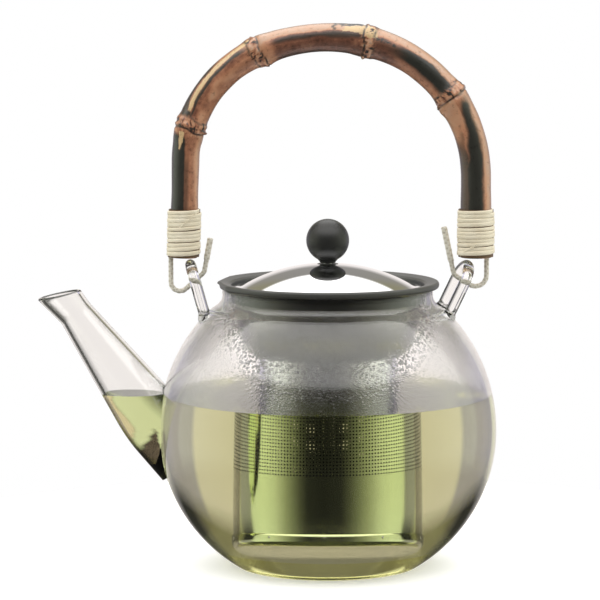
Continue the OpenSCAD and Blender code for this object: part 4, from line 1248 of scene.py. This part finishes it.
HOOK = {-1: dict(x=62.0, end=130.5, lean=10.5, ea=42, dz=-0.4, k=-3.0), 1: dict(x=62.8, end=135.0, lean=12.0, ea=32, dz=0.3, k=-1.6)}
def hook_line(side, z_top, d=0.0, step=0.22):
    h = HOOK[side]
    ea, ln = radians(h["ea"]), radians(h["lean"])
    eye = lambda dx: np.array([EAR_X + dx, EAR_Z + h["dz"] - dx * tan(ea)])
    ur = (h["x"] - EAR_X - 3.5) / (1 + sin(ea))
    uc = eye(3.5) + ur * np.array([sin(ea), cos(ea)])
    kp_ = eye(h["k"])
    kc = kp_ + 3.0 * np.array([sin(ea), cos(ea)])
    sp = kc - 3.0 * np.array([cos(ln), sin(ln)])
    hh = h["end"] - d - sp[1]
    se = sp + np.array([-hh * tan(ln), hh])
    pts = []
    def line(a, b):
        n = max(2, int(np.linalg.norm(b - a) / step))
        pts.extend([a + (b - a) * i / n for i in range(n)])
    def arc(c, r, a0, a1):
        n = max(4, int(r * abs(radians(a1 - a0)) / step))
        pts.extend([c + r * np.array([cos(radians(a0 + (a1 - a0) * i / n)), sin(radians(a0 + (a1 - a0) * i / n))]) for i in range(n)])
    line(np.array([h["x"], z_top]), np.array([h["x"], uc[1]]))
    arc(uc, ur, 0, -90 - h["ea"])
    line(eye(3.5), kp_)
    arc(kc, 3.0, 270 - h["ea"], 180 + h["lean"])
    k_stick = len(pts)
    line(sp, se)
    pts.append(se)
    P = np.array(pts)
    out_ = np.stack([P[:, 0] * side, np.zeros(len(P)), P[:, 1]], 1)
    return out_, k_stick

def braided(side, seg=28):
    P, ks = hook_line(side, CANE_END + 0.2)
    n = len(P)
    T = np.gradient(P, axis=0); T /= np.linalg.norm(T, axis=1)[:, None]
    L = np.concatenate([[0], np.cumsum(np.linalg.norm(np.diff(P, axis=0), axis=1))])
    l_grip = L[ks] + 4.2
    verts, braid_shade_fac = [], []
    for i in range(n):
        B = np.array([0, 1.0, 0]); N = np.cross(B, T[i]); N /= np.linalg.norm(N)
        grip = float(sstep(L[i], l_grip - 0.12, l_grip + 0.12))
        R = 0.93 + grip * 0.24
        tip = max(0.0, 1 - (L[-1] - L[i]) / 0.3) * grip
        line_ = exp_(-((L[-1] - L[i] - 2.3) / 0.16) ** 2)
        for j in range(seg):
            a = 2 * pi * j / seg
            w = 1.9 if grip < 0.5 else 2.1
            f1, f2 = cos(3 * a + 2 * pi * L[i] / w), cos(3 * a - 2 * pi * L[i] / w)
            f = max(f1, f2)
            r = R + 0.065 * f - 0.10 * tip ** 2 - 0.10 * line_
            r = min(r, (1.0 if grip < 0.02 else 1.25))
            # painted shade follows the braid's valleys and the groove
            verts.append(P[i] + r * (cos(a) * N + sin(a) * B)); braid_shade_fac.append(0.5 + 0.5 * f - 0.6 * line_)
    # turned into the open end
    for dd, r in ((0.0, 0.86), (-2.6, 0.84)):
        for j in range(seg):
            a = 2 * pi * j / seg
            B = np.array([0, 1.0, 0]); N = np.cross(B, T[-1]); N /= np.linalg.norm(N)
            verts.append(P[-1] + T[-1] * dd + r * (cos(a) * N + sin(a) * B)); braid_shade_fac.append(0.0)
    faces = [[i * seg + j, i * seg + (j + 1) % seg, (i + 1) * seg + (j + 1) % seg, (i + 1) * seg + j] for i in range(n + 1) for j in range(seg)]
    ob = make_obj("sleeve_" + ("right" if side > 0 else "left"), verts, faces, (M_SLEEVE,))
    fix_normals(ob)
    a = ob.data.attributes.new("braid_shade", "FLOAT", "POINT")
    a.data.foreach_set("value", np.array(braid_shade_fac, np.float32))
    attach(ob, "handle"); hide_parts("hook_sleeve_right" if side > 0 else "hook_sleeve_left")
    return ob
exp_ = math.exp
for sd in (-1, 1):
    braided(sd)
use("hook_wire_left", M_WIRE); use("hook_wire_right", M_WIRE)

# ================================================================= stage, world, camera
def floor():
    n, radii = 96, (90, 150, 210)
    verts = [(0, 0, -0.15)] + [(r * cos(2 * pi * j / n), r * sin(2 * pi * j / n), -0.15) for r in radii for j in range(n)]
    faces = [[0, 1 + j, 1 + (j + 1) % n] for j in range(n)]
    for k in range(len(radii) - 1):
        faces += [[1 + k * n + j, 1 + (k + 1) * n + j, 1 + (k + 1) * n + (j + 1) % n, 1 + k * n + (j + 1) % n] for j in range(n)]
    m, nt = new_mat("pale_floor")
    n1 = noise(nt, coords(nt), 12, 2)
    col = mix_rgb(nt, n1, (0.93, 0.93, 0.93), (0.95, 0.95, 0.95))
    d = nd(nt, "ShaderNodeBsdfDiffuse", Color=col)
    e = nd(nt, "ShaderNodeEmission", Color=col, Strength=0.42)
    ad = nd(nt, "ShaderNodeAddShader", i0=d.outputs[0], i1=e.outputs[0])
    out(nt, ad.outputs[0])
    ob = make_obj("floor", verts, faces, (m,))
    ob.visible_glossy = False
    ob.visible_transmission = False
    ob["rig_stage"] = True
    return ob
floor()

def world():
    w = bpy.data.worlds.new("studio")
    bpy.context.scene.world = w
    w.use_nodes = True
    nt = w.node_tree
    nt.nodes.clear()
    tc = nt.nodes.new("ShaderNodeTexCoord")
    sep = nd(nt, "ShaderNodeSeparateXYZ", Vector=tc.outputs["Generated"])
    x, y, z = sep.outputs[0], sep.outputs[1], sep.outputs[2]
    # the dark side of the room stands a little left of the camera
    xs = math_(nt, "MULTIPLY_ADD", math_(nt, "MINIMUM", y, 0.0), -0.10, x)
    az = math_(nt, "ARCTAN2", math_(nt, "ABSOLUTE", xs), y)  # 0 behind the pot, pi towards the front
    a = math_(nt, "DIVIDE", az, pi)
    d = lambda deg: deg / 180.0
    e = lambda deg: 0.5 + 0.5 * sin(radians(deg))            # position on the ramp for an elevation
    zz = math_(nt, "MULTIPLY_ADD", z, 0.5, 0.5)
    front = [(d(66), (1.22, 1.30, 1.12)), (d(84), (1.24, 1.32, 1.10)), (d(103), (0.98, 1.03, 0.85)), (d(122), (0.50, 0.52, 0.40)), (d(134), (0.27, 0.28, 0.22)), (d(145), (0.12, 0.12, 0.10)), (d(156), (0.035, 0.035, 0.035)), (1.0, (0.022, 0.022, 0.022))]
    low = ramp(nt, a, [(0.0, (1.02, 0.96, 0.93)), (d(29), (1.02, 0.96, 0.93)), (d(31), (0.61, 0.575, 0.72)), (d(46), (0.61, 0.575, 0.71)), (d(50), (0.56, 0.54, 0.64)), (d(56), (0.56, 0.54, 0.62)),
                       (d(60), (1.15, 1.20, 1.06))] + front)
    edge = ramp(nt, a, [(0.0, 0.0), (d(26), 0.0), (d(38), 1.0), (d(60), 1.0), (d(72), 0.0), (1.0, 0.0)])
    high = ramp(nt, a, [(0.0, (0.36, 0.345, 0.33)), (d(12), (0.35, 0.335, 0.30)), (d(18), (0.34, 0.32, 0.22)), (d(32), (0.33, 0.31, 0.20)), (d(38), (0.14, 0.13, 0.12)), (d(42), (0.03, 0.03, 0.03)), (d(60), (0.03, 0.03, 0.03)),
                        (d(65), (1.15, 1.20, 1.06))] + front[1:])
    lift = ramp(nt, math_(nt, "MULTIPLY_ADD", edge, 0.012, zz), [(0.0, 0.0), (e(9.5), 0.0), (e(19), 1.0), (1.0, 1.0)])
    side = mix_rgb(nt, lift, low, high)
    under = ramp(nt, zz, [(0.0, 1.0), (e(-22), 1.0), (e(-12), 0.0), (1.0, 0.0)])
    side = mix_rgb(nt, under, side, (0.07, 0.07, 0.06))
    # an overhead softbox closes the room
    top = ramp(nt, math_(nt, "MULTIPLY_ADD", edge, -0.11, zz), [(0.0, 0.0), (e(34), 0.0), (e(38.5), 1.0), (1.0, 1.0)])
    col = mix_rgb(nt, top, side, (2.5, 2.48, 2.44))
    lp = nt.nodes.new("ShaderNodeLightPath")
    fin = mix_rgb(nt, lp.outputs["Is Camera Ray"], col, (1.0, 1.0, 1.0))
    bg = nd(nt, "ShaderNodeBackground", Color=fin)
    bg.inputs["Strength"].default_value = 1.0
    o = nt.nodes.new("ShaderNodeOutputWorld")
    nt.links.new(bg.outputs[0], o.inputs["Surface"])
world()

cam = bpy.data.cameras.new("camera")
cam.sensor_width = 36.0
cam.sensor_fit = "HORIZONTAL"
cam.lens = 18.0 / (118.71 / 1307.0)
cam.shift_x, cam.shift_y = -27.7 / 600, -10.2 / 600
cam.clip_start, cam.clip_end = 0.05, 20
cam_ob = bpy.data.objects.new("camera", cam)
bpy.context.scene.collection.objects.link(cam_ob)
el = radians(6.26)
target = Vector((0, 0, 0.110))
cam_ob.location = Vector((0, -1.307 * cos(el), 0.110 + 1.307 * sin(el)))
cam_ob.rotation_mode = "QUATERNION"
cam_ob.rotation_quaternion = (target - cam_ob.location).to_track_quat("-Z", "Y")
sc = bpy.context.scene
sc.camera = cam_ob
sc.view_settings.view_transform = "Standard"
sc.view_settings.look = "None"
sc.cycles.max_bounces = 28
sc.cycles.transmission_bounces = 28
sc.cycles.glossy_bounces = 12
sc.cycles.diffuse_bounces = 8
sc.cycles.transparent_max_bounces = 32
sc.cycles.caustics_reflective = True
sc.cycles.caustics_refractive = True
sc.cycles.blur_glossy = 0.5
sc.cycles.sample_clamp_indirect = 12.0

bpy.context.view_layer.update()
for ob in bpy.context.scene.objects:
    if ob.type == "MESH" and not ob.hide_render and not ob.get("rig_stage"):
        n = triangle_count(ob)
        if n > 100000:
            print("TRIANGLES", ob.name, n)
